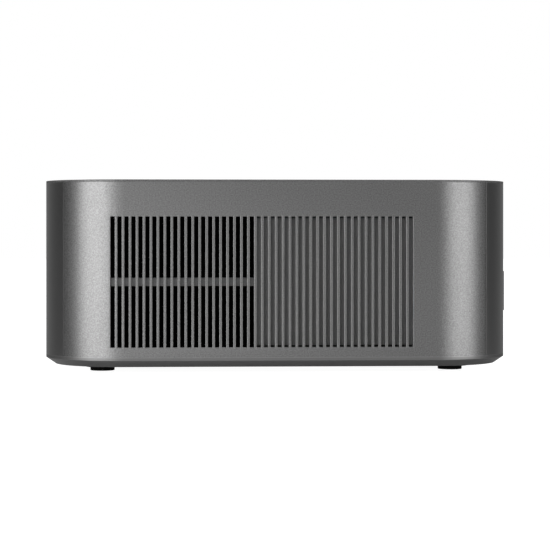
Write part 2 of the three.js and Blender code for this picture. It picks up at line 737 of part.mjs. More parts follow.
const pinionHalfPitchShare = 0.5;
const ringHole = rod(barrelOuter + fitGap, ringZ - overrun, ringZ + ringWidth + overrun, 0, 0, roundSteps);
const ringBlank = prism(gearShape(ringTeeth, ringPitchRadius, 0), ringZ, ringZ + ringWidth);
addNode('focus_ring', cut(ringBlank, ringHole), 'gearPlastic', lensTrain);
const pinionZ = ringZ + (ringWidth - pinionWidth) / 2;
const pinionEndZ = pinionZ + pinionWidth;
const motorZ = pinionEndZ + fitGap;
const drive = new THREE.Group();
drive.position.set(-gearCentres, 0, 0);
lensTrain.add(drive);
const pinionBody = join(
  prism(gearShape(pinionTeeth, pinionPitchRadius, pinionHalfPitchShare), pinionZ, pinionEndZ),
  rod(motorShaftRadius, pinionEndZ - fitGap, motorZ + motorShaftLength, 0, 0),
);
addNode('focus_pinion', pinionBody, 'gearPlastic', drive);
const motorBore = rod(motorShaftRadius + fitGap, motorZ - overrun, motorZ + motorShaftLength + fitGap, 0, 0);
const motorBody = cut(rod(motorRadius, motorZ, motorZ + motorLength, 0, 0, roundSteps), motorBore);
addNode('focus_motor', motorBody, 'bareMetal', drive);

// Motor bracket: a block on the deck with a round saddle for the motor
const motorAxisZ = lensZ - gearCentres;
const motorMidX = -(motorZ + motorLength / 2);
const [saddleX, saddleY] = [bracketLength / 2, bracketWidth / 2];
const bracket = cut(
  block(motorMidX - saddleX, motorMidX + saddleX, -saddleY, saddleY, deckZ, motorAxisZ),
  rodAlongX(motorRadius + fitGap, motorMidX - bracketLength, motorMidX + bracketLength, 0, motorAxisZ),
);
addNode('motor_bracket', bracket, 'blackPlastic');

// Lens cell: a tube that slides in the barrel, with a cup at its front for the first lens
const cupFloorZ = barrelEndZ + fitGap;
const cellRadius = barrelInner - fitGap;
const cellRearZ = flangeZ + cellRearReach;
const cellBore = cellRadius - cellWall;
const cellBody = turned([
  [cellBore, cellRearZ], [cellRadius, cellRearZ], [cellRadius, cupFloorZ], [cupRadius, cupFloorZ],
  [cupRadius, cupFrontZ], [cupRadius - cupWall, cupFrontZ],
  [cupRadius - cupWall, cupFloorZ + cupFloor], [cellBore, cupFloorZ + cupFloor],
]);
addNode('lens_cell', cellBody, 'blackPlastic', lensTrain);

// Front lens: flat at the back with a bowed face, seated on the cup's floor
const lensBackZ = cupFloorZ + cupFloor + fitGap;
const lensRimZ = lensBackZ + lensFromFloor + lensEdge;
const lensRadius = cupRadius - cupWall - fitGap;
const crownSteps = 6;
const crown = Array.from({ length: crownSteps + 1 }, (unused, k) => {
  const outShare = 1 - k / crownSteps;
  return [lensRadius * outShare, lensRimZ + lensCrown * (1 - outShare * outShare)];
});
addNode('front_lens', turned([[0, lensBackZ], [lensRadius, lensBackZ], ...crown]), 'glass', lensTrain);

// Bezel: trim ring that lies on the fascia, with a sleeve through its hole
const fasciaZ = halfLength;
const bezelBody = turned([
  [bezelInner, fasciaZ - bezelDepth], [bezelSleeve, fasciaZ - bezelDepth], [bezelSleeve, fasciaZ + fitGap],
  [bezelFlange, fasciaZ + fitGap], [bezelFlange, fasciaZ + endProud], [bezelInner, fasciaZ + endProud],
]);
addNode('lens_bezel', bezelBody, 'glossBlack', lensTrain);

// Main board on four posts at the connector end, with its screws
const boardPostY = boardHalfWidth - boardPostInset;
const boardPostXs = [boardFront + boardPostInset, boardRear - boardPostFromEnd];
const boardPosts = boardPostXs.flatMap((x) => [-boardPostY, boardPostY].map((y) => ({ x, y })));
const boardHoles = boardPosts.map(({ x, y }) => (
  rod(shankHole, boardBottomZ - overrun, boardTopZ + overrun, x, y)
));
const boardSlab = block(boardFront, boardRear, -boardHalfWidth, boardHalfWidth, boardBottomZ, boardTopZ);
addNode('main_board', cut(boardSlab, ...boardHoles), 'circuitBoard');
const boardScrewTipZ = boardTopZ - boardScrewShank;
const boardScrewSeatZ = boardTopZ + fitGap;
const boardScrewTopZ = boardScrewSeatZ + screwHeadHeight;
boardPosts.forEach(({ x, y }, k) => {
  const screw = turned([
    [0, boardScrewTipZ], [screwShankRadius, boardScrewTipZ], [screwShankRadius, boardScrewSeatZ],
    [screwHeadRadius, boardScrewSeatZ], [screwHeadRadius, boardScrewTopZ], [0, boardScrewTopZ],
  ], smallSteps);
  addNode(`board_screw_${k + 1}`, screw, 'bareMetal').position.set(x, y, 0);
});

// Speakers: closed boxes on the deck behind the closed slots, each with a cone in its outer face
const speakerX = openMidX + fanSize / 2 + speakerFromFan;
const speakerMidX = speakerX + speakerLength / 2;
for (const [side, sign] of sides) {
  const box = sideBlock(
    sign, speakerX, speakerX + speakerLength,
    speakerFromSide, speakerFromSide + speakerDepth, deckZ, deckZ + speakerHeight,
  );
  const [coneRim, coneBottom] = [speakerConeRadius, speakerConeRadius / 2];
  const cone = new THREE.CylinderGeometry(coneRim, coneBottom, speakerConeDepth, roundSteps);
  if (sign < 0) cone.rotateX(Math.PI);
  cone.translate(speakerMidX, sign * (halfWidth - speakerFromSide - speakerConeDepth / 2), slotMidZ);
  addNode(`speaker_${side}`, cut(box, solid(cone)), 'blackPlastic');
}

// Chassis: flat deck on the tray floor, with posts that carry the fans, sinks, engine and main board
const deckShape = roundedRect(halfLength - deckInset, halfWidth - deckInset, cornerRadius - deckInset);
const carried = [];
function post(x, y, topZ) {
  const half = postWidth / 2;
  carried.push(block(x - half, x + half, y - half, y + half, floorZ, topZ - fitGap));
}
const postSpan = fanSize / 2 - postWidth;
for (const [, sign] of sides) {
  for (const x of [openMidX - postSpan, openMidX + postSpan]) {
    post(x, sign * (halfWidth - fanFront - fanDepth + postWidth / 2), fanBottomZ);
    post(x, sign * (halfWidth - sinkBack + postWidth / 2), sinkBottomZ);
  }
  const engineY = sign * (engineHalfWidth - postWidth);
  post(engineMidX - engineLength / 2 + postWidth, engineY, engineBottomZ);
  post(engineMidX + engineLength / 2 - postWidth, engineY, engineBottomZ);
}
for (const { x, y } of boardPosts) {
  carried.push(rod(boardPostRadius, floorZ, boardBottomZ - fitGap, x, y));
}
for (const { x, y } of baseScrewPlaces) {
  carried.push(rod(screwPostRadius, floorZ, deckZ + screwPostHeight, x, y));
}
const boardPilots = boardPosts.map(({ x, y }) => (
  rod(shankHole, boardScrewTipZ - fitGap, boardTopZ, x, y)
));
const deck = join(prism(deckShape, floorZ, deckZ), ...carried);
addNode('chassis', cut(deck, bushHole, ...baseScrewHoles, ...boardPilots), 'castMetal');

// Tripod bush: flanged brass insert through the base, held by its flange on the deck
const bushTopZ = footHeight + bushHeight;
const flangeLowZ = deckZ + fitGap;
const flangeTopZ = flangeLowZ + bushFlangeThickness;
const bushFlangeRadius = bushRadius + bushFlange;
const bushBody = turned([
  [bushBore, footHeight], [bushRadius, footHeight], [bushRadius, flangeLowZ], [bushFlangeRadius, flangeLowZ],
  [bushFlangeRadius, flangeTopZ], [bushRadius, flangeTopZ], [bushRadius, bushTopZ], [bushBore, bushTopZ],
]);
addNode('tripod_bush', bushBody, 'brass').position.set(bushX, 0, 0);

// Base screws: pan heads under the base plate, threaded up into the chassis
const baseScrewHeadZ = footHeight - screwHeadHeight;
const baseScrewTipZ = deckZ + screwPostHeight - fitGap;
for (const { name, x, y } of baseScrewPlaces) {
  const screw = turned([
    [0, baseScrewHeadZ], [screwHeadRadius, baseScrewHeadZ], [screwHeadRadius, footHeight],
    [screwShankRadius, footHeight], [screwShankRadius, baseScrewTipZ], [0, baseScrewTipZ],
  ], smallSteps);
  addNode(`base_screw_${name}`, screw, 'bareMetal').position.set(x, y, 0);
}

export default projector;
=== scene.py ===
import math

import bmesh
import bpy
from mathutils import Matrix, Vector


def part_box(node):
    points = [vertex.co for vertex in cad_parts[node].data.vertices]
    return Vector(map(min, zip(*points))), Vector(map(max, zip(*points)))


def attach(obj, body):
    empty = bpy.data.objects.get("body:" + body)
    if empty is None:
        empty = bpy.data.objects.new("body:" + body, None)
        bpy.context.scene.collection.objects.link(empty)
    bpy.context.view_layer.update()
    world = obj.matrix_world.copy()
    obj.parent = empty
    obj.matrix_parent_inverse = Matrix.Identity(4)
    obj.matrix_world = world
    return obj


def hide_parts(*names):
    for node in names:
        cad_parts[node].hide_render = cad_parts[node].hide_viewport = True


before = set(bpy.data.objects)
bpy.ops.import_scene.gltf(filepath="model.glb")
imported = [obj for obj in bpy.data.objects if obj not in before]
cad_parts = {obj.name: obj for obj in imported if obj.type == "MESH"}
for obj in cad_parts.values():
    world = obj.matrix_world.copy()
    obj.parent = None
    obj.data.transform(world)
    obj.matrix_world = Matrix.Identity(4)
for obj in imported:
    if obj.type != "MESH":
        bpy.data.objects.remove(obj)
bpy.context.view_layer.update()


# The camera stands about a metre from one slotted side, a little above the
# middle of the case, and looks level with a long lens.

camera_data = bpy.data.cameras.new("side_view")
camera_data.lens = 122.93
camera_data.sensor_width = 36
camera_data.shift_x = 0.01805
camera_data.shift_y = -0.07704
camera = bpy.data.objects.new("side_view", camera_data)
camera_place = Matrix.Translation((-0.05967, -1.05472, 0.07104))
camera_turn = Matrix.Rotation(math.radians(-3.14), 4, "Z")
camera_level = Matrix.Rotation(math.pi / 2, 4, "X")
camera.matrix_world = camera_place @ camera_turn @ camera_level
bpy.context.scene.collection.objects.link(camera)
bpy.context.scene.camera = camera
bpy.context.scene.view_settings.view_transform = "Standard"


# The studio: a paper floor, white to the camera and dimmer in the paint's
# reflections, where it shows a painted glow: brighter in front of the case,
# stronger to the left and beside its ends, and none under it. A large softbox
# stands on each side of the camera, a low one beside it and one high behind
# that lights the lid and the back.

def inside(material):
    """A material's node tree, its shader and its object coordinates."""
    tree = material.node_tree
    return tree, tree.nodes["Principled BSDF"], tree.nodes["Texture Coordinate"].outputs["Object"]


def new_material(name):
    """A new material, with its tree, its shader and its object coordinates."""
    material = bpy.data.materials.new(name)
    material.use_nodes = True
    material.node_tree.nodes.new("ShaderNodeTexCoord")
    return material, *inside(material)


def feed(tree, node, inputs):
    """Gives each named socket of a node a plain value, or links another node's output to it."""
    for label, value in inputs.items():
        if isinstance(value, bpy.types.NodeSocket):
            tree.links.new(value, node.inputs[label])
        else:
            node.inputs[label].default_value = value


def add_node(tree, kind, inputs, **settings):
    """A new shader node with its settings and with what goes into its sockets."""
    node = tree.nodes.new(f"ShaderNode{kind}")
    for label, value in settings.items():
        setattr(node, label, value)
    feed(tree, node, inputs)
    return node


def add_math(tree, operation, first, second=0):
    """The result of a sum on sockets or numbers."""
    return add_node(tree, "Math", {0: first, 1: second}, operation=operation).outputs[0]


paper_bright, floor_reach = 0.96, 4
paper_white, paper_tree, paper_shader, paper_place = new_material("paper_white")
paper_axes = add_node(paper_tree, "SeparateXYZ", {0: paper_place}).outputs


def glow_along(label, stops):
    """Painted glow that mirrors see on the table along one of its axes; stops are (metres, glow)."""
    near, far = stops[0][0], stops[-1][0]
    along = add_node(paper_tree, "MapRange", {"Value": paper_axes[label], "From Min": near, "From Max": far})
    ramp = add_node(paper_tree, "ValToRGB", {"Fac": along.outputs["Result"]})
    ramp.color_ramp.interpolation = "EASE"
    while len(ramp.color_ramp.elements) < len(stops):
        ramp.color_ramp.elements.new(0.5)
    for element, (place, glow) in zip(ramp.color_ramp.elements, stops):
        element.position = (place - near) / (far - near)
        element.color = (glow, glow, glow, 1)
    return ramp.outputs["Color"]


# Painted glow for the paint's reflections: brighter in front of the case, none under it, stronger to the
# left, and beside the case's ends.
front_glow = glow_along("Y", (
    (-1.2, 0.24), (-0.25, 0.52), (-0.14, 0.48), (-0.112, 0.13), (-0.1, 0.15), (-0.085, 0.13), (-0.06, 0),
))
left_lift = glow_along("X", ((-0.1, 1.25), (0.1, 0.92)))
end_glow = glow_along("X", ((-0.155, 0), (-0.118, 0.25), (-0.066, 0), (0.095, 0), (0.12, 0.19), (0.155, 0)))
lifted_glow = add_math(paper_tree, "MULTIPLY", front_glow, left_lift)
table_glow = add_math(paper_tree, "MAXIMUM", lifted_glow, end_glow)
paper_rays = paper_tree.nodes.new("ShaderNodeLightPath").outputs
seen_by_mirrors = add_math(paper_tree, "ADD", paper_rays["Is Glossy Ray"], paper_rays["Is Transmission Ray"])
seen_in_mirrors = add_math(paper_tree, "MULTIPLY", seen_by_mirrors, table_glow)
seen_by_camera = add_math(paper_tree, "MULTIPLY", paper_rays["Is Camera Ray"], paper_bright)
feed(paper_tree, paper_shader, {
    "Base Color": (0.66, 0.66, 0.66, 1), "Roughness": 0.12, "Specular IOR Level": 0.8,
    "Emission Color": (1, 1, 1, 1),
    "Emission Strength": add_math(paper_tree, "ADD", seen_by_camera, seen_in_mirrors),
})

floor_shape = bmesh.new()
bmesh.ops.create_grid(floor_shape, x_segments=1, y_segments=1, size=floor_reach)
floor_mesh = bpy.data.meshes.new("floor")
floor_shape.to_mesh(floor_mesh)
floor_shape.free()
floor_mesh.materials.append(paper_white)
floor = bpy.data.objects.new("floor", floor_mesh)
bpy.context.scene.collection.objects.link(floor)

studio = bpy.data.worlds.new("studio")
bpy.context.scene.world = studio
studio.use_nodes = True
sky_tree = studio.node_tree
sky_rays = sky_tree.nodes.new("ShaderNodeLightPath").outputs
sky_way = sky_tree.nodes.new("ShaderNodeTexCoord").outputs["Generated"]
sky_back = add_node(sky_tree, "MapRange", {
    "Value": add_node(sky_tree, "SeparateXYZ", {0: sky_way}).outputs["Y"],
    "From Min": 0, "From Max": 1, "To Min": 0.1, "To Max": 0.3,
}, interpolation_type="SMOOTHSTEP").outputs["Result"]
sky_seen = add_math(sky_tree, "ADD", sky_rays["Is Camera Ray"], sky_rays["Is Transmission Ray"])
feed(sky_tree, sky_tree.nodes["Background"], {
    "Color": (1, 1, 1, 1), "Strength": add_math(sky_tree, "MAXIMUM", sky_seen, sky_back),
})


def softbox(name, azimuth, distance, height, width, tall, power):
    """A rectangular lamp that faces the case; azimuth counts from the camera's side to the right."""
    lamp = bpy.data.lights.new(name, "AREA")
    lamp.shape = "RECTANGLE"
    lamp.size = width
    lamp.size_y = tall
    lamp.energy = power
    stand = bpy.data.objects.new(name, lamp)
    angle = math.radians(azimuth)
    where = Vector((distance * math.sin(angle), -distance * math.cos(angle), height))
    case_middle = Vector((0, 0, 0.05))
    turn = (case_middle - where).to_track_quat("-Z", "Y").to_matrix().to_4x4()
    stand.matrix_world = Matrix.Translation(where) @ turn
    bpy.context.scene.collection.objects.link(stand)


softbox("softbox_left", azimuth=-44.8, distance=1.3, height=0.22, width=0.91, tall=0.95, power=10.1)
softbox("softbox_right", azimuth=46.2, distance=1.3, height=0.22, width=0.9, tall=0.95, power=7.85)
softbox("softbox_front", azimuth=-16, distance=1.6, height=0.12, width=0.9, tall=0.5, power=1.9)
softbox("softbox_back", azimuth=180, distance=1.2, height=1.5, width=1.2, tall=0.8, power=9)


# Bottom tray: a shallow moulded tub with the outline of the case, a wide
# chamfer all round its foot and smooth dark paint, with a painted highlight along its lip.

def cad_sizes(node):
    """Lowest and highest corner of a CAD node in millimetres."""
    return [corner * 1000 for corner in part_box(node)]


tray_low, tray_high = cad_sizes("bottom_tray")
CASE = tray_high    # x and y are half the length and half the width of the case
CORNER = 41         # radius of its upright corners
CORNER_STEPS = 32
WALL = 2.4          # thickness of tray, walls and connector plug
HAIR = 0.01         # closer than this counts as the same place
SHARP = math.radians(30)    # an edge that turns by more than this is a corner


def round_edges(shape, edges, offset, segments=2):
    """Rounds edges, or chamfers them where segments is 1."""
    bmesh.ops.bevel(
        shape, geom=edges, offset=offset, segments=segments, profile=0.5,
        affect="EDGES", material=-1, clamp_overlap=True,
    )


def add_block(shape, size, middle):
    """Adds a block of some size round a point to a shape."""
    verts = bmesh.ops.create_cube(shape, size=1)["verts"]
    bmesh.ops.scale(shape, vec=size, verts=verts)
    bmesh.ops.translate(shape, vec=middle, verts=verts)
    return shape


def case_block(low, high, inset=0.0):
    """A block with the rounded outline of the case, taken in by inset."""
    size = (2 * (CASE.x - inset), 2 * (CASE.y - inset), high - low)
    shape = add_block(bmesh.new(), size, (0, 0, (low + high) / 2))
    uprights = [edge for edge in shape.edges if abs(edge.verts[0].co.z - edge.verts[1].co.z) > HAIR]
    round_edges(shape, uprights, CORNER - inset, CORNER_STEPS)
    return shape


def faces_towards(shape, x, y, z):
    """The faces that look straight along one axis."""
    axis = Vector((x, y, z))
    shape.normal_update()
    return [face for face in shape.faces if face.normal.dot(axis) > 0.999]


def largest(faces):
    """The face with the largest area."""
    return max(faces, key=lambda face: face.calc_area())


def pick(geometry, kind):
    """The vertices, edges or faces out of what an operator gives back."""
    return [item for item in geometry if isinstance(item, kind)]


def unique(items):
    """Each item once, in the order of its first place."""
    return list(dict.fromkeys(items))


def along_axis(axis):
    """The direction of axis 0, 1 or 2."""
    return Vector([float(k == axis) for k in range(3)])


def cut_lines(shape, faces, positions, axis):
    """Scores faces along planes square to one axis, and returns the faces that come of them."""
    normal = along_axis(axis)
    for position in positions:
        around = unique(item for face in faces for item in (face, *face.edges, *face.verts))
        parts = bmesh.ops.bisect_plane(
            shape, geom=around, dist=0.0001, plane_co=normal * position, plane_no=normal,
        )
        faces = unique(pick(parts["geom"], bmesh.types.BMFace))
    return faces


def set_piece(name, shape, finish, body, replaced=(), sharp=40):
    """Turns a shape in millimetres into a finished piece that rides on a body."""
    bmesh.ops.scale(shape, vec=(0.001, 0.001, 0.001), verts=shape.verts)
    mesh = bpy.data.meshes.new(name)
    shape.to_mesh(mesh)
    shape.free()
    mesh.shade_smooth()
    mesh.set_sharp_from_angle(angle=math.radians(sharp))
    mesh.materials.append(finish)
    piece = bpy.data.objects.new(name, mesh)
    bpy.context.scene.collection.objects.link(piece)
    shading = piece.modifiers.new("even_shading", "WEIGHTED_NORMAL")
    shading.keep_sharp = True
    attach(piece, body)
    if replaced:
        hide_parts(*replaced)


def shader_group(name, inputs, outputs):
    """An empty shader group with named sockets."""
    group = bpy.data.node_groups.new(name, "ShaderNodeTree")
    for label, kind, value in inputs:
        socket = group.interface.new_socket(label, in_out="INPUT", socket_type=kind)
        if value is not None:
            socket.default_value = value
    for label, kind in outputs:
        group.interface.new_socket(label, in_out="OUTPUT", socket_type=kind)
    return group, group.nodes.new("NodeGroupInput").outputs, group.nodes.new("NodeGroupOutput")


def noise_value(tree, place, scale, detail):
    """Cloudy noise about a half."""
    return add_node(tree, "TexNoise", {"Vector": place, "Scale": scale, "Detail": detail}).outputs["Fac"]


def spread(tree, value, low, high, low_from=0.3, high_from=0.7):
    """Maps a value to a range; low and high may be numbers or sockets."""
    return add_node(tree, "MapRange", {
        "Value": value, "From Min": low_from, "From Max": high_from, "To Min": low, "To Max": high,
    }).outputs["Result"]


def scaled(tree, colour, factor):
    """A colour made lighter or darker by a factor."""
    return add_node(tree, "VectorMath", {0: colour, "Scale": factor}, operation="SCALE").outputs[0]


# Speckle: flakes or fine grain that lighten and darken a colour, with a matching height
speckle, speckle_in, speckle_out = shader_group(
    "speckle",
    (("Place", "NodeSocketVector", None), ("Colour", "NodeSocketColor", (0.5, 0.5, 0.5, 1)),
     ("Scale", "NodeSocketFloat", 1500), ("Amount", "NodeSocketFloat", 0.2)),
    (("Colour", "NodeSocketColor"), ("Height", "NodeSocketFloat")),
)
speckle_noise = noise_value(speckle, speckle_in["Place"], speckle_in["Scale"], detail=3)
darker = add_math(speckle, "SUBTRACT", 1, speckle_in["Amount"])
lighter = add_math(speckle, "ADD", 1, speckle_in["Amount"])
shade = spread(speckle, speckle_noise, darker, lighter)
feed(speckle, speckle_out, {"Colour": scaled(speckle, speckle_in["Colour"], shade), "Height": speckle_noise})

# Handling: broad soft patches that make a surface a little duller or shinier
handling, handling_in, handling_out = shader_group(
    "handling",
    (("Place", "NodeSocketVector", None), ("Roughness", "NodeSocketFloat", 0.4),
     ("Amount", "NodeSocketFloat", 0.04), ("Scale", "NodeSocketFloat", 25)),
    (("Roughness", "NodeSocketFloat"),),
)
patches = noise_value(handling, handling_in["Place"], handling_in["Scale"], detail=4)
duller = add_math(handling, "ADD", handling_in["Roughness"], handling_in["Amount"])
shinier = add_math(handling, "SUBTRACT", handling_in["Roughness"], handling_in["Amount"])
feed(handling, handling_out, {"Roughness": spread(handling, patches, shinier, duller)})


def grained_finish(
    name, colour, roughness, metallic=0.0, grain=1500, amount=0.15, relief=0.02, smudge=0.03, stretch=None,
):
    """A finish with speckled colour, uneven gloss and fine relief in mm; a small stretch draws it out."""
    material, tree, shader, place = new_material(name)
    drawn = place
    if stretch:
        drawn = add_node(tree, "Mapping", {"Vector": place, "Scale": stretch}).outputs["Vector"]
    speckles = add_node(
        tree, "Group", {"Place": drawn, "Colour": (*colour, 1), "Scale": grain, "Amount": amount},
        node_tree=speckle,
    ).outputs
    touch = add_node(
        tree, "Group", {"Place": place, "Roughness": roughness, "Amount": smudge}, node_tree=handling,
    )
    bump = add_node(tree, "Bump", {"Height": speckles["Height"], "Distance": relief / 1000})
    feed(tree, shader, {
        "Base Color": speckles["Colour"], "Roughness": touch.outputs["Roughness"],
        "Normal": bump.outputs["Normal"],
        "Metallic": metallic,
    })
    return material


chamfer_top, chamfer_inset, tray_floor, crease_round = 6.55, 4.9, 2, 0.08
lip_height, lip_draft, lip_highlight_gain = 0.3, 0.04, 1.35
tray_paint = grained_finish(
    "tray_paint", (0.2, 0.2, 0.2), 0.46, metallic=1, grain=2500, amount=0.06, relief=0.003, smudge=0.01,
)
tray_tree, tray_shader, tray_place = inside(tray_paint)
# Painted highlight: the paint's colour is lightened along the top of the lip.
lip_start, lip_fade = (tray_high.z - lip_height) / 1000, 0.00005
tray_height = add_node(tray_tree, "SeparateXYZ", {0: tray_place}).outputs["Z"]
lip_painted_highlight = spread(tray_tree, tray_height, 1, lip_highlight_gain, lip_start - lip_fade, lip_start + lip_fade)
tray_colour = tray_shader.inputs["Base Color"].links[0].from_socket
feed(tray_tree, tray_shader, {"Base Color": scaled(tray_tree, tray_colour, lip_painted_highlight)})

tray = case_block(chamfer_top, tray_high.z)
bmesh.ops.inset_region(
    tray, faces=faces_towards(tray, 0, 0, -1), thickness=chamfer_inset, depth=0, use_even_offset=True,
)
tray_foot = largest(faces_towards(tray, 0, 0, -1))
bmesh.ops.translate(tray, vec=(0, 0, tray_low.z - chamfer_top), verts=tray_foot.verts)
tray_top = faces_towards(tray, 0, 0, 1)
bmesh.ops.inset_region(tray, faces=tray_top, thickness=WALL, depth=0, use_even_offset=True)
tray_mouth = largest(faces_towards(tray, 0, 0, 1))
bmesh.ops.inset_region(tray, faces=[tray_mouth], thickness=chamfer_inset, depth=0, use_even_offset=True)
tray_mouth = largest(faces_towards(tray, 0, 0, 1))
bmesh.ops.translate(tray, vec=(0, 0, tray_low.z + tray_floor - tray_high.z), verts=tray_mouth.verts)
tray.normal_update()
crease = [
    edge for edge in tray.edges
    if all(abs(vert.co.z - chamfer_top) < HAIR for vert in edge.verts) and edge.calc_face_angle() > SHARP
]
round_edges(tray, crease, crease_round)
rim_sides = [
    face for face in tray.faces
    if abs(face.normal.z) < 0.1 and face.calc_center_median().z > chamfer_top + crease_round
]
lip_faces = cut_lines(tray, rim_sides, (tray_high.z - lip_height,), 2)
lip_verts = unique(vert for face in lip_faces for vert in face.verts if vert.co.z > tray_high.z - HAIR)
bmesh.ops.scale(tray, vec=(1 - lip_draft / CASE.x, 1 - lip_draft / CASE.y, 1), verts=lip_verts)
set_piece("tray", tray, tray_paint, "case", ("bottom_tray",))


# Base plate: a thin black painted steel sheet under the tray. It is the
# CAD's own solid, with its holes for the screws, the feet and the bush.

def dress(finish, *nodes):
    """Gives CAD nodes a finish of their own."""
    for node in nodes:
        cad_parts[node].data.materials.clear()
        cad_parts[node].data.materials.append(finish)


black_moulded = grained_finish(
    "black_moulded", (0.012, 0.012, 0.013), 0.5, grain=1800, amount=0.2, relief=0.03,
)
dress(black_moulded, "base_plate")


# Feet: four round pads of black rubber with a shallow dish underneath, each
# pushed into the base plate by its peg.

def turned(profile, steps=64, ring=False):
    """A turned shape about Z from (radius, height) points; a ring profile closes on itself."""
    shape = bmesh.new()
    points = [shape.verts.new((radius, 0, height)) for radius, height in profile]
    edges = [shape.edges.new(pair) for pair in zip(points, points[1:])]
    if ring:
        edges.append(shape.edges.new((points[-1], points[0])))
    bmesh.ops.spin(
        shape, geom=points + edges, cent=(0, 0, 0), axis=(0, 0, 1), dvec=(0, 0, 0),
        angle=2 * math.pi, steps=steps, use_merge=True,
    )
    bmesh.ops.remove_doubles(shape, verts=shape.verts, dist=0.0005)
    bmesh.ops.recalc_face_normals(shape, faces=shape.faces)
    return shape


foot_rubber = grained_finish("foot_rubber", (0.005, 0.005, 0.005), 0.8, grain=900, amount=0.3, relief=0.05)
foot_rubber.node_tree.nodes["Principled BSDF"].inputs["Specular IOR Level"].default_value = 0.15
dish_depth, dish_slope, pad_land, pad_high, peg_radius = 0.35, 0.3, 1.9, 2.1, 2
base_corners = [(end, side) for end in ("front", "rear") for side in ("left", "right")]
for end, side in base_corners:
    node = f"foot_{end}_{side}"
    foot_low, foot_high = cad_sizes(node)
    radius = (foot_high.x - foot_low.x) / 2
    pad = turned((
        (0, dish_depth), (radius - pad_land - dish_slope, dish_depth), (radius - pad_land, 0),
        (radius - 0.25, 0), (radius - 0.07, 0.07), (radius, 0.25), (radius, pad_high - 0.15),
        (radius - 0.1, pad_high), (peg_radius, pad_high), (peg_radius, foot_high.z), (0, foot_high.z),
    ))
    foot_middle = (foot_low + foot_high) / 2
    bmesh.ops.translate(pad, vec=(foot_middle.x, foot_middle.y, 0), verts=pad.verts)
    set_piece(f"rubber_foot_{end}_{side}", pad, foot_rubber, "case", (node,))


# Tripod bush: a brass insert through the base, threaded for a camera screw
# and held by its flange on the deck.

def metal_finish(name, colour, roughness, stretch=None, grain=900, amount=0.12, relief=0.01):
    """Bare metal with fine tool marks, drawn out along an axis by a small stretch."""
    return grained_finish(
        name, colour, roughness, metallic=1, grain=grain, amount=amount, relief=relief, smudge=0.07,
        stretch=stretch,
    )


bush_brass = metal_finish("bush_brass", (0.58, 0.43, 0.19), 0.28, stretch=(1, 1, 0.15))
bush_low, bush_high = cad_sizes("tripod_bush")
bush_x, bush_radius, bush_bore, bush_edge = -20, 6, 3.2, 0.2
flange_radius, flange_low, flange_high = 9, 7.1, 8.6
thread_turns, thread_pitch, thread_depth, thread_lead = 8, 1.27, 0.5, 1
bush_profile = [
    (bush_bore + 0.4, bush_low.z), (bush_radius - bush_edge, bush_low.z),
    (bush_radius, bush_low.z + bush_edge), (bush_radius, flange_low),
    (flange_radius - bush_edge, flange_low), (flange_radius, flange_low + bush_edge),
    (flange_radius, flange_high - bush_edge), (flange_radius - bush_edge, flange_high),
    (bush_radius, flange_high), (bush_radius, bush_high.z), (bush_bore, bush_high.z),
]
for k in range(thread_turns):
    turn_top = bush_high.z - thread_lead - k * thread_pitch
    bush_profile += [(bush_bore, turn_top), (bush_bore - thread_depth, turn_top - thread_pitch / 2)]
bush_profile.append((bush_bore, bush_low.z + 0.5))
bush = turned(bush_profile, ring=True)
bmesh.ops.translate(bush, vec=(bush_x, 0, 0), verts=bush.verts)
set_piece("threaded_bush", bush, bush_brass, "case", ("tripod_bush",), sharp=30)


# Chassis and base screws: a cast deck with posts, and four plated pan-head
# screws with cross recesses that hold tray and plate to it from below.

cast_metal = metal_finish("cast_metal", (0.32, 0.32, 0.33), 0.5, grain=500, amount=0.15, relief=0.05)
dress(cast_metal, "chassis")

plated_steel = metal_finish("plated_steel", (0.5, 0.5, 0.51), 0.3)
head_high, head_radius, head_taper, shank_radius, shank_taper = 1.1, 2.8, 0.35, 1.3, 0.2
recess_reach, recess_half, recess_depth, recess_taper = 1.45, 0.34, 0.7, 0.7
recess_lines = (-recess_reach, -recess_half, recess_half, recess_reach)
for end, side in base_corners:
    node = f"base_screw_{end}_{side}"
    screw_low, screw_high = cad_sizes(node)
    seat = screw_low.z + head_high
    screw = bmesh.new()
    head = bmesh.ops.create_cone(
        screw, cap_ends=True, segments=36, radius1=head_radius - head_taper, radius2=head_radius,
        depth=head_high,
    )["verts"]
    bmesh.ops.translate(screw, vec=(0, 0, (screw_low.z + seat) / 2), verts=head)
    cells = cut_lines(screw, faces_towards(screw, 0, 0, -1), recess_lines, 0)
    cells = cut_lines(screw, cells, recess_lines, 1)
    arms = []
    for face in cells:
        middle = face.calc_center_median()
        near, far = sorted((abs(middle.x), abs(middle.y)))
        if near < recess_half and far < recess_reach:
            arms.append(face)
    pressed = pick(bmesh.ops.extrude_face_region(screw, geom=arms)["geom"], bmesh.types.BMVert)
    bmesh.ops.delete(screw, geom=arms, context="FACES")
    bmesh.ops.scale(screw, vec=(recess_taper, recess_taper, 1), verts=pressed)
    bmesh.ops.translate(screw, vec=(0, 0, recess_depth), verts=pressed)
    shank = bmesh.ops.create_cone(
        screw, cap_ends=True, segments=24, radius1=shank_radius, radius2=shank_radius - shank_taper,
        depth=screw_high.z - seat,
    )["verts"]
    bmesh.ops.translate(screw, vec=(0, 0, (seat + screw_high.z) / 2), verts=shank)
    screw_middle = (screw_low + screw_high) / 2
    bmesh.ops.translate(screw, vec=(screw_middle.x, screw_middle.y, 0), verts=screw.verts)
    set_piece(f"pan_screw_{end}_{side}", screw, plated_steel, "case", (node,), sharp=25)


# Light engine and LED modules: a cast housing with three round collimators
# on square copper slugs, seated against the sinks and the heat block.

dress(cast_metal, "light_engine")
bright_copper = metal_finish("bright_copper", (0.74, 0.38, 0.24), 0.32, stretch=(0.2, 1, 1))
dress(bright_copper, "led_red", "led_green", "led_blue")


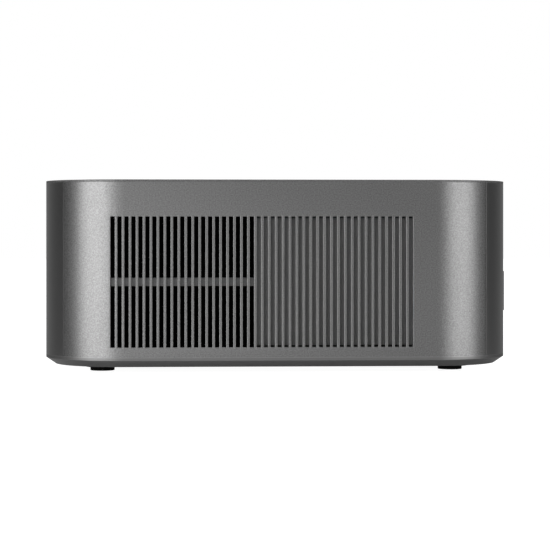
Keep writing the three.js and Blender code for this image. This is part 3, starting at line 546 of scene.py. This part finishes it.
# Rear heat block and heat pipe: a milled copper block on the third module,
# and a bent copper pipe that takes its heat to the right heat sink.

dress(bright_copper, "rear_heat_block", "heat_pipe")


# Heat sinks: extruded aluminium combs behind the fans, bare metal with long
# draw marks down the fins.

bare_aluminium = metal_finish("bare_aluminium", (0.62, 0.62, 0.63), 0.32, stretch=(1, 1, 0.04), grain=1600)
dress(bare_aluminium, "heat_sink_left", "heat_sink_right")


# Fans: square moulded frames with four struts, and seven-bladed rotors that
# turn on a short shaft inside them.

dress(black_moulded, "fan_frame_left", "fan_frame_right", "fan_rotor_left", "fan_rotor_right")


# Dust filters: sheets of open black foam that stand between the fans and the
# open slots; their colour, near zero, is also painted shade for the dark
# inside of the case, so that nothing but black shows through them.

filter_foam, foam_tree, foam_shader, foam_place = new_material("filter_foam")
foam_cells = add_node(foam_tree, "TexVoronoi", {"Vector": foam_place, "Scale": 900}).outputs["Distance"]
foam_bump = add_node(foam_tree, "Bump", {"Height": foam_cells, "Distance": 0.0006})
# Near-zero colour: painted shade for the dark inside behind the open slots.
feed(foam_tree, foam_shader, {
    "Base Color": spread(foam_tree, foam_cells, 0.0005, 0.004, low_from=0, high_from=0.8),
    "Normal": foam_bump.outputs["Normal"],
    "Roughness": 1, "Specular IOR Level": 0.05,
})
dress(filter_foam, "dust_filter_left", "dust_filter_right")


# Focus drive: a moulded ring gear on the barrel, turned by a small motor's
# pinion, with the motor in a saddle on the deck.

gear_plastic = grained_finish("gear_plastic", (0.62, 0.6, 0.53), 0.45, grain=700, amount=0.08, relief=0.02)
dress(gear_plastic, "focus_ring", "focus_pinion")
dress(black_moulded, "lens_barrel", "motor_bracket")
dress(plated_steel, "focus_motor")


# Lens cell: a black anodised tube that slides in the barrel, with a cup at
# its front, fine baffle rings inside and a ring that retains the lens.

lens_z = 54.025     # height of the lens axis


def along_lens(shape):
    """Turns a shape built along Z to look out of the lens end, on the lens axis."""
    bmesh.ops.rotate(shape, verts=shape.verts, cent=(0, 0, 0), matrix=Matrix.Rotation(-math.pi / 2, 3, "Y"))
    bmesh.ops.translate(shape, vec=(0, 0, lens_z), verts=shape.verts)
    return shape


def baffles(radius, start, end, pitch, depth, slope=0.85):
    """Saw-tooth rings on the inside of a tube; slope is the long side's share of a tooth."""
    count = round(abs(end - start) / pitch)
    step = (end - start) / count
    points = []
    for k in range(count):
        points += [(radius, start + k * step), (radius - depth, start + (k + slope) * step)]
    return points


cell_low, cell_high = cad_sizes("lens_cell")
cup_front, cup_radius, cup_bore, cup_depth, cup_high = -cell_low.x, 23, 20.5, 11.6, 14
cell_bore, cell_radius, cell_rear = 15.2, 17.6, -cell_high.x
cup_floor, cup_rear = cup_front - cup_depth, cup_front - cup_high
lens_rim, lens_radius, lens_crown = cup_front - 4.3, 20.2, 3.5
clamp_bore = lens_radius - 1.1
anodised = grained_finish(
    "anodised_black", (0.008, 0.008, 0.009), 0.42, metallic=0.3, grain=2500, amount=0.15, relief=0.005,
)
cell = turned([
    (cell_bore, cell_rear), (cell_radius, cell_rear), (cell_radius, cup_rear), (cup_radius, cup_rear),
    (cup_radius, cup_front - 0.4), (cup_radius - 0.4, cup_front), (cup_bore + 0.4, cup_front),
    (cup_bore, cup_front - 0.3), *baffles(cup_bore, cup_front - 0.5, lens_rim + 1.5, pitch=0.6, depth=0.25),
    (cup_bore, lens_rim + 1.3), (clamp_bore + 0.2, lens_rim + 1.2), (clamp_bore, lens_rim + 0.9),
    (clamp_bore, lens_rim + 0.55), (cup_bore, lens_rim + 0.2), (cup_bore, cup_floor), (cell_bore, cup_floor),
    *baffles(cell_bore, cup_floor - 0.5, cell_rear + 0.5, pitch=1.2, depth=0.5),
], steps=96, ring=True)
set_piece(
    "sliding_lens_cell", along_lens(cell), anodised, "focus_lens", ("lens_cell",), sharp=30,
)


# Front lens: a polished glass element, flat behind and bowed in front, with a
# thin coating that gives a faint violet reflection.

coated_glass, glass_tree, glass_shader, glass_place = new_material("coated_glass")
glass_touch = add_node(
    glass_tree, "Group", {"Place": glass_place, "Roughness": 0.02, "Amount": 0.012, "Scale": 60},
    node_tree=handling,
)
feed(glass_tree, glass_shader, {
    "Base Color": (0.93, 0.95, 1, 1), "Transmission Weight": 1, "IOR": 1.52,
    "Thin Film Thickness": 430, "Thin Film IOR": 1.38, "Roughness": glass_touch.outputs["Roughness"],
})
crown_steps = 12
lens_thick, lens_edge = 7, 0.2
lens_back = lens_rim - lens_thick
crown = []
for k in range(crown_steps + 1):
    out = 1 - k / crown_steps
    crown.append((lens_radius * out, lens_rim + lens_crown * (1 - out * out)))
glass = turned([
    (0, lens_back), (lens_radius - lens_edge, lens_back), (lens_radius, lens_back + lens_edge), *crown,
], steps=96)
set_piece(
    "front_glass", along_lens(glass), coated_glass, "focus_lens", ("front_lens",), sharp=30,
)


# Circuit boards: green glass-fibre boards with buried tracks and tinned pads,
# the main one on four plated screws.

circuit_board, board_tree, board_shader, board_place = new_material("circuit_board")
tracks = add_node(board_tree, "TexBrick", {
    "Vector": board_place, "Color1": (0.018, 0.085, 0.04, 1), "Color2": (0.014, 0.07, 0.033, 1),
    "Mortar": (0.03, 0.16, 0.07, 1), "Scale": 160, "Mortar Size": 0.03,
})
pads = add_node(board_tree, "TexVoronoi", {"Vector": board_place, "Scale": 260})
pad_mask = spread(board_tree, pads.outputs["Distance"], 1, 0, low_from=0.18, high_from=0.2)
tinned = add_node(
    board_tree, "Mix", {"Factor": pad_mask, "A": tracks.outputs["Color"], "B": (0.6, 0.6, 0.58, 1)},
    data_type="RGBA",
)
feed(board_tree, board_shader, {
    "Base Color": tinned.outputs["Result"], "Metallic": pad_mask, "Roughness": 0.35,
})
dress(circuit_board, "main_board", "chip_board", "key_board")
dress(plated_steel, *(f"board_screw_{k}" for k in (1, 2, 3, 4)))


# Speakers: closed black boxes behind the closed slots, each with a paper
# cone in its outer face.

dress(black_moulded, "speaker_left", "speaker_right")


# Side shells: one long moulding on each side with 44 upright slots, metallic
# flake paint outside, and a bar behind the open slots that ties the slats.

SLOTS, SLOT_WIDTH, SLOT_PITCH = 44, 2.13, 3.5
first_slot_x, slot_low, slot_high = -84.5, 13.25, 79.2
slot_round, seam_round = 0.3, 0.088
tie_low_x, tie_high_x, tie_low, tie_high = -86.1, -12.75, 44.125, 48.325
tie_front, tie_back, tie_round = 2.2, 4.8, 0.12
side_low, side_high = cad_sizes("side_shell_left")
seam_shift = 0.3    # the seam at the connector end lies this much nearer to the middle than in the CAD
flake_paint = grained_finish(
    "flake_paint", (0.21, 0.21, 0.21), 0.37, metallic=1, grain=1600, amount=0.24, relief=0.003, smudge=0.01,
)
# The tie's paint is darker than the flake paint: painted shade for its place in the recess behind the slats.
tie_painted_shade = grained_finish(
    "tie_painted_shade", (0.12, 0.12, 0.12), 0.42, metallic=0.8, grain=1500, amount=0.15, relief=0.01,
)


def middle_of(edge):
    """The point halfway along an edge."""
    return (edge.verts[0].co + edge.verts[1].co) / 2


def on_outside(point):
    """Whether a point lies on the outside face of the case, corners included."""
    past_x = max(abs(point.x) - (CASE.x - CORNER), 0)
    past_y = max(abs(point.y) - (CASE.y - CORNER), 0)
    return abs(math.hypot(past_x, past_y) - CORNER) < 0.1


def outer_rims(shape):
    """Sharp edges that lie on the outside face of the case."""
    shape.normal_update()
    return [
        edge for edge in shape.edges
        if len(edge.link_faces) == 2 and edge.calc_face_angle() > SHARP
        and all(on_outside(vert.co) for vert in edge.verts)
    ]


def within_height(edge):
    """Whether an edge of the wall lies between its lower and upper rims."""
    return side_low.z + HAIR < middle_of(edge).z < side_high.z - HAIR


def keep_part(shape, axis, position, side):
    """Keeps what lies on one side of a plane square to an axis."""
    normal = along_axis(axis)
    bmesh.ops.bisect_plane(
        shape, geom=shape.verts[:] + shape.edges[:] + shape.faces[:], dist=0.0001,
        plane_co=normal * position, plane_no=-normal * side, clear_outer=True,
    )


def wall_skin():
    """The outside face of the case wall, all round, as an open skin."""
    skin = case_block(side_low.z, side_high.z)
    bmesh.ops.delete(skin, geom=faces_towards(skin, 0, 0, 1) + faces_towards(skin, 0, 0, -1), context="FACES")
    return skin


def off_slot(point):
    """How far a point lies from the middle of the nearest slot; without end where the row has no slots."""
    along = (point.x - first_slot_x) / SLOT_PITCH
    in_row = -0.5 < along < SLOTS - 0.5 and slot_low < point.z < slot_high
    return abs(along - round(along)) * SLOT_PITCH if in_row else math.inf


slot_edges = [
    first_slot_x + k * SLOT_PITCH + half
    for k in range(SLOTS) for half in (-SLOT_WIDTH / 2, SLOT_WIDTH / 2)
]
for side, sign in (("left", -1), ("right", 1)):
    shell = wall_skin()
    keep_part(shell, 0, side_low.x, 1)
    keep_part(shell, 0, side_high.x - seam_shift, -1)
    keep_part(shell, 1, 0, sign)
    shell.normal_update()
    flats = [face for face in shell.faces if face.normal.y * sign > 0.97]
    flats = cut_lines(shell, flats, (slot_low, slot_high), 2)
    flats = cut_lines(shell, flats, slot_edges, 0)
    slots = [face for face in flats if off_slot(face.calc_center_median()) < SLOT_WIDTH / 2]
    bmesh.ops.delete(shell, geom=slots, context="FACES")
    bmesh.ops.solidify(shell, geom=shell.faces[:], thickness=WALL)
    slot_rims, seam_rims = [], []
    for edge in outer_rims(shell):
        if abs(off_slot(middle_of(edge)) - SLOT_WIDTH / 2) < HAIR:
            slot_rims.append(edge)
        elif within_height(edge):
            seam_rims.append(edge)
    round_edges(shell, slot_rims, slot_round, 3)
    round_edges(shell, [edge for edge in seam_rims if edge.is_valid], seam_round, 1)
    tie_y = sign * (CASE.y - (tie_front + tie_back) / 2)
    tie = add_block(
        bmesh.new(), (tie_high_x - tie_low_x, tie_back - tie_front, tie_high - tie_low),
        ((tie_low_x + tie_high_x) / 2, tie_y, (tie_low + tie_high) / 2),
    )
    round_edges(tie, tie.edges[:], tie_round)
    set_piece(f"slat_tie_{side}", tie, tie_painted_shade, "case")
    set_piece(f"slotted_side_{side}", shell, flake_paint, "case", (f"side_shell_{side}",))


# Vent blanks: plain grey mouldings just behind the 23 closed slots, a little
# shorter than the slots, so that a dark line shows at their ends.

vent_grey = grained_finish("vent_grey", (0.21, 0.21, 0.21), 0.55, grain=1500, amount=0.12, relief=0.02)
dress(vent_grey, "vent_blank_left", "vent_blank_right")


# Front fascia: the lens end of the wall in smooth dark paint, with round
# holes for the bezel and for the remote control's window.

def open_window(shape, direction, low, high):
    """Cuts a rectangle out of the flat that faces one way; low and high are its corners."""
    axis = max(range(3), key=lambda k: abs(direction[k]))
    across = [k for k in range(3) if k != axis]
    flats = [
        face for face in faces_towards(shape, *direction)
        if all(
            min(vert.co[k] for vert in face.verts) < high[k]
            and max(vert.co[k] for vert in face.verts) > low[k]
            for k in across
        )
    ]
    for k in across:
        flats = cut_lines(shape, flats, (low[k], high[k]), k)
    opening = []
    for face in flats:
        middle = face.calc_center_median()
        if all(low[k] < middle[k] < high[k] for k in across):
            opening.append(face)
    bmesh.ops.delete(shape, geom=opening, context="FACES")
    return across


def open_edges(shape):
    """The edges round the holes of a skin."""
    return [edge for edge in shape.edges if len(edge.link_faces) == 1]


def open_round_hole(shape, direction, centre, radius, steps=64, margin=1.25):
    """Cuts a square window in the flat that faces one way, and fills it up to a round hole."""
    centre, reach = Vector(centre), Vector((1, 1, 1)) * radius * margin
    across = open_window(shape, direction, centre - reach, centre + reach)

    def square_rim():
        return [
            edge for edge in open_edges(shape)
            if all(abs(vert.co[k] - centre[k]) < reach.x + HAIR for vert in edge.verts for k in across)
        ]

    bmesh.ops.subdivide_edges(shape, edges=square_rim(), cuts=steps // len(square_rim()) - 1)
    turn = Vector(direction).to_track_quat("Z", "Y").to_matrix().to_4x4()
    border = square_rim()
    rim = bmesh.ops.create_circle(
        shape, cap_ends=False, segments=steps, radius=radius, matrix=Matrix.Translation(centre) @ turn,
    )["verts"]
    rim = unique(edge for vert in rim for edge in vert.link_edges)
    filled = bmesh.ops.bridge_loops(shape, edges=border + rim)["faces"]
    shape.normal_update()
    for face in filled:
        if face.normal.dot(Vector(direction)) < 0:
            face.normal_flip()


smooth_paint = grained_finish(
    "smooth_paint", (0.21, 0.21, 0.21), 0.3, metallic=1, grain=3000, amount=0.04, relief=0.002, smudge=0.01,
)
fascia_high = cad_sizes("front_fascia")[1]
remote_y, remote_radius, bezel_sleeve, fit_gap = 46, 3.5, 28.7, 0.3
hole_round, fascia_seam_round = 0.2, 0.065
fascia = wall_skin()
keep_part(fascia, 0, fascia_high.x, -1)
open_round_hole(fascia, (-1, 0, 0), (-CASE.x, 0, lens_z), bezel_sleeve + fit_gap, steps=96)
open_round_hole(fascia, (-1, 0, 0), (-CASE.x, remote_y, lens_z), remote_radius + fit_gap, steps=32)
bmesh.ops.solidify(fascia, geom=fascia.faces[:], thickness=WALL)
fascia_rims = [edge for edge in outer_rims(fascia) if within_height(edge)]
fascia_holes = [edge for edge in fascia_rims if edge.verts[0].co.x < 1 - CASE.x]
fascia_seams = [edge for edge in fascia_rims if edge.verts[0].co.x > fascia_high.x - 1]
round_edges(fascia, fascia_holes, hole_round)
round_edges(fascia, fascia_seams, fascia_seam_round, 1)
set_piece("lens_end_wall", fascia, smooth_paint, "case", ("front_fascia",))


# Remote window: a small plug of dark gloss plastic, nearly flush, that the
# remote control's beam passes through.

gloss_black = grained_finish(
    "gloss_black", (0.006, 0.006, 0.007), 0.07, grain=400, amount=0.05, relief=0.0005, smudge=0.02,
)
window_back = CASE.x - WALL
window = turned((
    (0, window_back), (remote_radius, window_back), (remote_radius, CASE.x - 0.4),
    (remote_radius - 0.3, CASE.x - 0.1), (remote_radius - 0.8, CASE.x), (0, CASE.x),
), steps=48)
bmesh.ops.translate(along_lens(window), vec=(0, remote_y, 0), verts=window.verts)
set_piece("remote_eye", window, gloss_black, "case", ("remote_window",))


# Lens bezel: a polished black trim ring on the fascia, with a sleeve through
# its hole and fine steps on the inside that lead in to the lens.

bezel_low, bezel_high = cad_sizes("lens_bezel")
bezel_front, bezel_rear, bezel_bore, bezel_edge = -bezel_low.x, -bezel_high.x, 24.5, 31
bezel_seat = CASE.x + 0.05
bezel = turned([
    (bezel_bore, bezel_rear), (bezel_sleeve, bezel_rear), (bezel_sleeve, bezel_seat),
    (bezel_edge - 0.1, bezel_seat), (bezel_edge, CASE.x + 0.2), (bezel_edge, bezel_front - 0.7),
    (bezel_edge - 0.2, bezel_front - 0.2), (bezel_edge - 0.7, bezel_front), (bezel_bore + 2.2, bezel_front),
    (bezel_bore + 1.5, bezel_front - 0.3),
    *baffles(bezel_bore + 1.2, bezel_front - 0.8, bezel_rear + 2, pitch=0.9, depth=0.5),
    (bezel_bore, bezel_rear + 1),
], steps=128, ring=True)
set_piece("bezel_ring", along_lens(bezel), gloss_black, "case", ("lens_bezel",), sharp=30)


# Rear panel: the connector end of the wall in the same smooth paint, with a
# long opening for the connector plate.

rear_low = cad_sizes("rear_panel")[0]
io_low, io_high = cad_sizes("io_plate")
io_flange = Vector((0, 3, 3))
rear_round = 0.075
rear = wall_skin()
keep_part(rear, 0, rear_low.x - seam_shift, 1)
open_window(rear, (1, 0, 0), io_low + io_flange, io_high - io_flange)
bmesh.ops.solidify(rear, geom=rear.faces[:], thickness=WALL)
round_edges(rear, [edge for edge in outer_rims(rear) if within_height(edge)], rear_round)
set_piece("connector_end_wall", rear, smooth_paint, "case", ("rear_panel",))


# Connector plate: a black moulding that stands 2 mm proud of the rear panel
# and plugs into its opening, with a window for each socket.

sockets = ("power_socket", "hdmi_socket_1", "hdmi_socket_2", "usb_socket", "audio_socket")
plate = add_block(bmesh.new(), io_high - io_low, (io_low + io_high) / 2)
plate_front = faces_towards(plate, 1, 0, 0)
bmesh.ops.delete(plate, geom=[face for face in plate.faces if face not in plate_front], context="FACES")
plate_round = 0.3
round_socket = Vector((0, fit_gap, fit_gap))
for node in sockets:
    socket_low, socket_high = cad_sizes(node)
    open_window(plate, (1, 0, 0), socket_low - round_socket, socket_high + round_socket)
plug_low, plug_high = io_low + io_flange + round_socket, io_high - io_flange - round_socket
cut_lines(plate, plate.faces[:], (plug_low.y, plug_high.y), 1)
cut_lines(plate, plate.faces[:], (plug_low.z, plug_high.z), 2)
bmesh.ops.solidify(plate, geom=plate.faces[:], thickness=io_high.x - CASE.x)
plug_root = []
for face in faces_towards(plate, -1, 0, 0):
    middle = face.calc_center_median()
    if plug_low.y < middle.y < plug_high.y and plug_low.z < middle.z < plug_high.z:
        plug_root.append(face)
plug = pick(bmesh.ops.extrude_face_region(plate, geom=plug_root)["geom"], bmesh.types.BMVert)
bmesh.ops.delete(plate, geom=plug_root, context="FACES")
bmesh.ops.translate(plate, vec=(-WALL, 0, 0), verts=plug)
plate.normal_update()
plate_rims = [
    edge for edge in plate.edges
    if edge.calc_face_angle(0) > SHARP and all(vert.co.x > io_high.x - HAIR for vert in edge.verts)
]
round_edges(plate, plate_rims, plate_round)
set_piece("connector_plate", plate, black_moulded, "case", ("io_plate",))


# Sockets on the main board: folded steel shells with a contact tongue for
# the flat ones, and black barrels for the power and the audio socket.

tongue_plastic = grained_finish("tongue_plastic", (0.02, 0.02, 0.022), 0.4, grain=1500, amount=0.1)
gilt_contact = metal_finish("gilt_contact", (0.78, 0.58, 0.28), 0.25)
shell_back, shell_round = 0.6, 0.5
tongue_gap, tongue_width, tongue_round = 0.6, 11, 0.15
contact_gap, contact_share, contact_proud, contact_round = 1.2, 0.45, 0.08, 0.06
wide_socket = dict(wall=0.5, tongue=0.8, keyed=2.1, contacts=9, pitch=1.0)
flat_sockets = {
    "hdmi_socket_1": wide_socket,
    "hdmi_socket_2": wide_socket,
    "usb_socket": dict(wall=0.4, tongue=1.8, keyed=0.5, contacts=4, pitch=2.4),
}
socket_bores, bore_steps, bore_floor = {"power_socket": 3.2, "audio_socket": 1.8}, 32, 1
pin_radius, pin_tip, pin_short, pin_back = 1, 0.8, 2, 0.2
towards_end = Matrix.Rotation(math.pi / 2, 4, "Y")
for node in sockets:
    low, high = cad_sizes(node)
    middle, size = (low + high) / 2, high - low
    body = add_block(bmesh.new(), size, middle)
    if node in flat_sockets:
        made = flat_sockets[node]
        long_edges = [edge for edge in body.edges if abs(edge.verts[0].co.x - edge.verts[1].co.x) > HAIR]
        keyed_edges = [edge for edge in long_edges if edge.verts[0].co.z < middle.z]
        round_edges(body, [edge for edge in long_edges if edge not in keyed_edges], shell_round, 4)
        round_edges(body, [edge for edge in keyed_edges if edge.is_valid], made["keyed"], 1)
        mouth = faces_towards(body, 1, 0, 0)
        bmesh.ops.inset_region(body, faces=mouth, thickness=made["wall"], depth=0, use_even_offset=True)
        bmesh.ops.translate(body, vec=(shell_back - size.x, 0, 0), verts=mouth[0].verts)
        set_piece(f"{node}_shell", body, plated_steel, "case", (node,), sharp=30)
        tongue = add_block(bmesh.new(), (size.x - 2 * tongue_gap, tongue_width, made["tongue"]), middle)
        round_edges(tongue, tongue.edges[:], tongue_round)
        set_piece(f"{node}_tongue", tongue, tongue_plastic, "case")
        strips = bmesh.new()
        strip = (size.x - 2 * contact_gap, made["pitch"] * contact_share, made["tongue"] + 2 * contact_proud)
        for k in range(made["contacts"]):
            across = (k - (made["contacts"] - 1) / 2) * made["pitch"]
            add_block(strips, strip, middle + Vector((0, across, 0)))
        round_edges(strips, strips.edges[:], contact_round, 1)
        set_piece(f"{node}_contacts", strips, gilt_contact, "case")
    else:
        bmesh.ops.delete(body, geom=faces_towards(body, 1, 0, 0), context="FACES_ONLY")
        bmesh.ops.subdivide_edges(body, edges=open_edges(body), cuts=bore_steps // 4 - 1)
        front_rim = open_edges(body)
        bore_rim = bmesh.ops.create_circle(
            body, cap_ends=False, segments=bore_steps, radius=socket_bores[node],
            matrix=Matrix.Translation((high.x, middle.y, middle.z)) @ towards_end,
        )["verts"]
        bore_rim = unique(edge for vert in bore_rim for edge in vert.link_edges)
        bmesh.ops.bridge_loops(body, edges=front_rim + bore_rim)
        bored = pick(bmesh.ops.extrude_edge_only(body, edges=bore_rim)["geom"], bmesh.types.BMVert)
        bmesh.ops.translate(body, vec=(bore_floor - size.x, 0, 0), verts=bored)
        bmesh.ops.contextual_create(body, geom=bored)
        bmesh.ops.recalc_face_normals(body, faces=body.faces)
        if node == "power_socket":
            bmesh.ops.create_cone(
                body, cap_ends=True, segments=24, radius1=pin_radius, radius2=pin_tip,
                depth=size.x - pin_short,
                matrix=Matrix.Translation((middle.x - pin_back, middle.y, middle.z)) @ towards_end,
            )
        set_piece(f"{node}_barrel", body, black_moulded, "case", (node,), sharp=30)


# Top cover: a flat lid in the flake paint with softly rounded edges, a lip
# that drops inside the walls and two posts that carry the key board.

cover_low, cover_high = cad_sizes("top_cover")
button_x, button_radius, lid_low = 85, 7, side_high.z
lid_round, lid_seam_round, lip_thick = 0.2, 0.05, 2
lid = case_block(lid_low, cover_high.z)
bmesh.ops.delete(lid, geom=[face for face in lid.faces if face.normal.z < 0.9], context="FACES")
open_round_hole(lid, (0, 0, 1), (button_x, 0, cover_high.z), button_radius + fit_gap)
bmesh.ops.solidify(lid, geom=lid.faces[:], thickness=cover_high.z - lid_low)
lid.normal_update()
lid_top, lid_bottom = [], []
for edge in lid.edges:
    if len(edge.link_faces) == 2 and edge.calc_face_angle() > SHARP:
        if all(vert.co.z > cover_high.z - HAIR for vert in edge.verts):
            lid_top.append(edge)
        elif all(vert.co.z < lid_low + HAIR and on_outside(vert.co) for vert in edge.verts):
            lid_bottom.append(edge)
round_edges(lid, lid_top, lid_round)
round_edges(lid, lid_bottom, lid_seam_round, 1)
lip = case_block(cover_low.z, lid_low, WALL + fit_gap)
bmesh.ops.delete(lip, geom=[face for face in lip.faces if abs(face.normal.z) > 0.9], context="FACES")
bmesh.ops.solidify(lip, geom=lip.faces[:], thickness=lip_thick)
lip_mesh = bpy.data.meshes.new("lip")
lip.to_mesh(lip_mesh)
lip.free()
lid.from_mesh(lip_mesh)
bpy.data.meshes.remove(lip_mesh)
key_board_top, post_y, post_radius = 90.2, 14, 2.5
for y in (-post_y, post_y):
    bmesh.ops.create_cone(
        lid, cap_ends=True, segments=24, radius1=post_radius, radius2=post_radius,
        depth=lid_low - key_board_top,
        matrix=Matrix.Translation((button_x, y, (lid_low + key_board_top) / 2)),
    )
lid_paint = grained_finish(
    "lid_paint", (0.165, 0.165, 0.165), 0.48, metallic=0.6, grain=1600, amount=0.29, relief=0.004,
    smudge=0.02,
)
set_piece("lid", lid, lid_paint, "case", ("top_cover",))


# Power button: a smooth painted cap with a shallow dish and a printed power
# mark, its flange under the lid and its stem over the switch.

button_low, button_high = cad_sizes("power_button")
stem_radius, collar_radius = 2, 8.5
cap_top, collar_low, collar_high = button_high.z, button_high.z - 3.9, button_high.z - 2.4
button = turned((
    (0, button_low.z), (stem_radius, button_low.z), (stem_radius, collar_low), (collar_radius, collar_low),
    (collar_radius, collar_high), (button_radius, collar_high), (button_radius, cap_top - 0.4),
    (button_radius - 0.15, cap_top - 0.12), (button_radius - 0.5, cap_top), (button_radius - 1, cap_top),
    (button_radius - 2.5, cap_top - 0.15), (0, cap_top - 0.25),
))
bmesh.ops.translate(button, vec=(button_x, 0, 0), verts=button.verts)

# Power mark: a ring with a gap and a short bar through it, in metres round its own middle
power_mark, mark_in, mark_out = shader_group(
    "power_mark",
    (
        ("Place", "NodeSocketVector", None),
        ("Radius", "NodeSocketFloat", 0.0022),
        ("Line", "NodeSocketFloat", 0.0002),
    ),
    (("Mask", "NodeSocketFloat"),),
)
half_gap, bar_start, bar_end = 0.0008, -0.0007, -0.0032


def mark_math(operation, first, second=0):
    """A sum in the power mark's group."""
    return add_math(power_mark, operation, first, second)


mark_axes = add_node(power_mark, "SeparateXYZ", {0: mark_in["Place"]}).outputs
mark_x, off_bar = mark_axes["X"], mark_math("ABSOLUTE", mark_axes["Y"])
squares = mark_math("ADD", mark_math("POWER", mark_x, 2), mark_math("POWER", off_bar, 2))
off_middle = mark_math("SQRT", squares)
off_ring = mark_math("ABSOLUTE", mark_math("SUBTRACT", off_middle, mark_in["Radius"]))
on_ring = mark_math("LESS_THAN", off_ring, mark_in["Line"])
in_gap = mark_math("MULTIPLY", mark_math("LESS_THAN", off_bar, half_gap), mark_math("LESS_THAN", mark_x, 0))
open_ring = mark_math("MULTIPLY", on_ring, mark_math("SUBTRACT", 1, in_gap))
along_bar = mark_math(
    "MULTIPLY", mark_math("LESS_THAN", mark_x, bar_start), mark_math("GREATER_THAN", mark_x, bar_end),
)
on_bar = mark_math("MULTIPLY", along_bar, mark_math("LESS_THAN", off_bar, mark_in["Line"]))
feed(power_mark, mark_out, {"Mask": mark_math("MAXIMUM", open_ring, on_bar)})

key_paint = grained_finish(
    "key_paint", (0.19, 0.19, 0.19), 0.4, metallic=0.6, grain=2500, amount=0.05, relief=0.002,
)
key_tree, key_shader, key_place = inside(key_paint)
cap_middle = (button_x / 1000, 0, 0)
cap_place = add_node(key_tree, "VectorMath", {0: key_place, 1: cap_middle}, operation="SUBTRACT").outputs[0]
key_mask = add_node(key_tree, "Group", {"Place": cap_place}, node_tree=power_mark).outputs["Mask"]
key_colour = key_shader.inputs["Base Color"].links[0].from_socket
printed = add_node(
    key_tree, "Mix", {"Factor": key_mask, "A": key_colour, "B": (0.6, 0.6, 0.6, 1)}, data_type="RGBA",
)
feed(key_tree, key_shader, {
    "Base Color": printed.outputs["Result"],
    "Metallic": spread(key_tree, key_mask, 0.6, 0, low_from=0, high_from=1),
})
set_piece("power_key", button, key_paint, "button", ("power_button",))
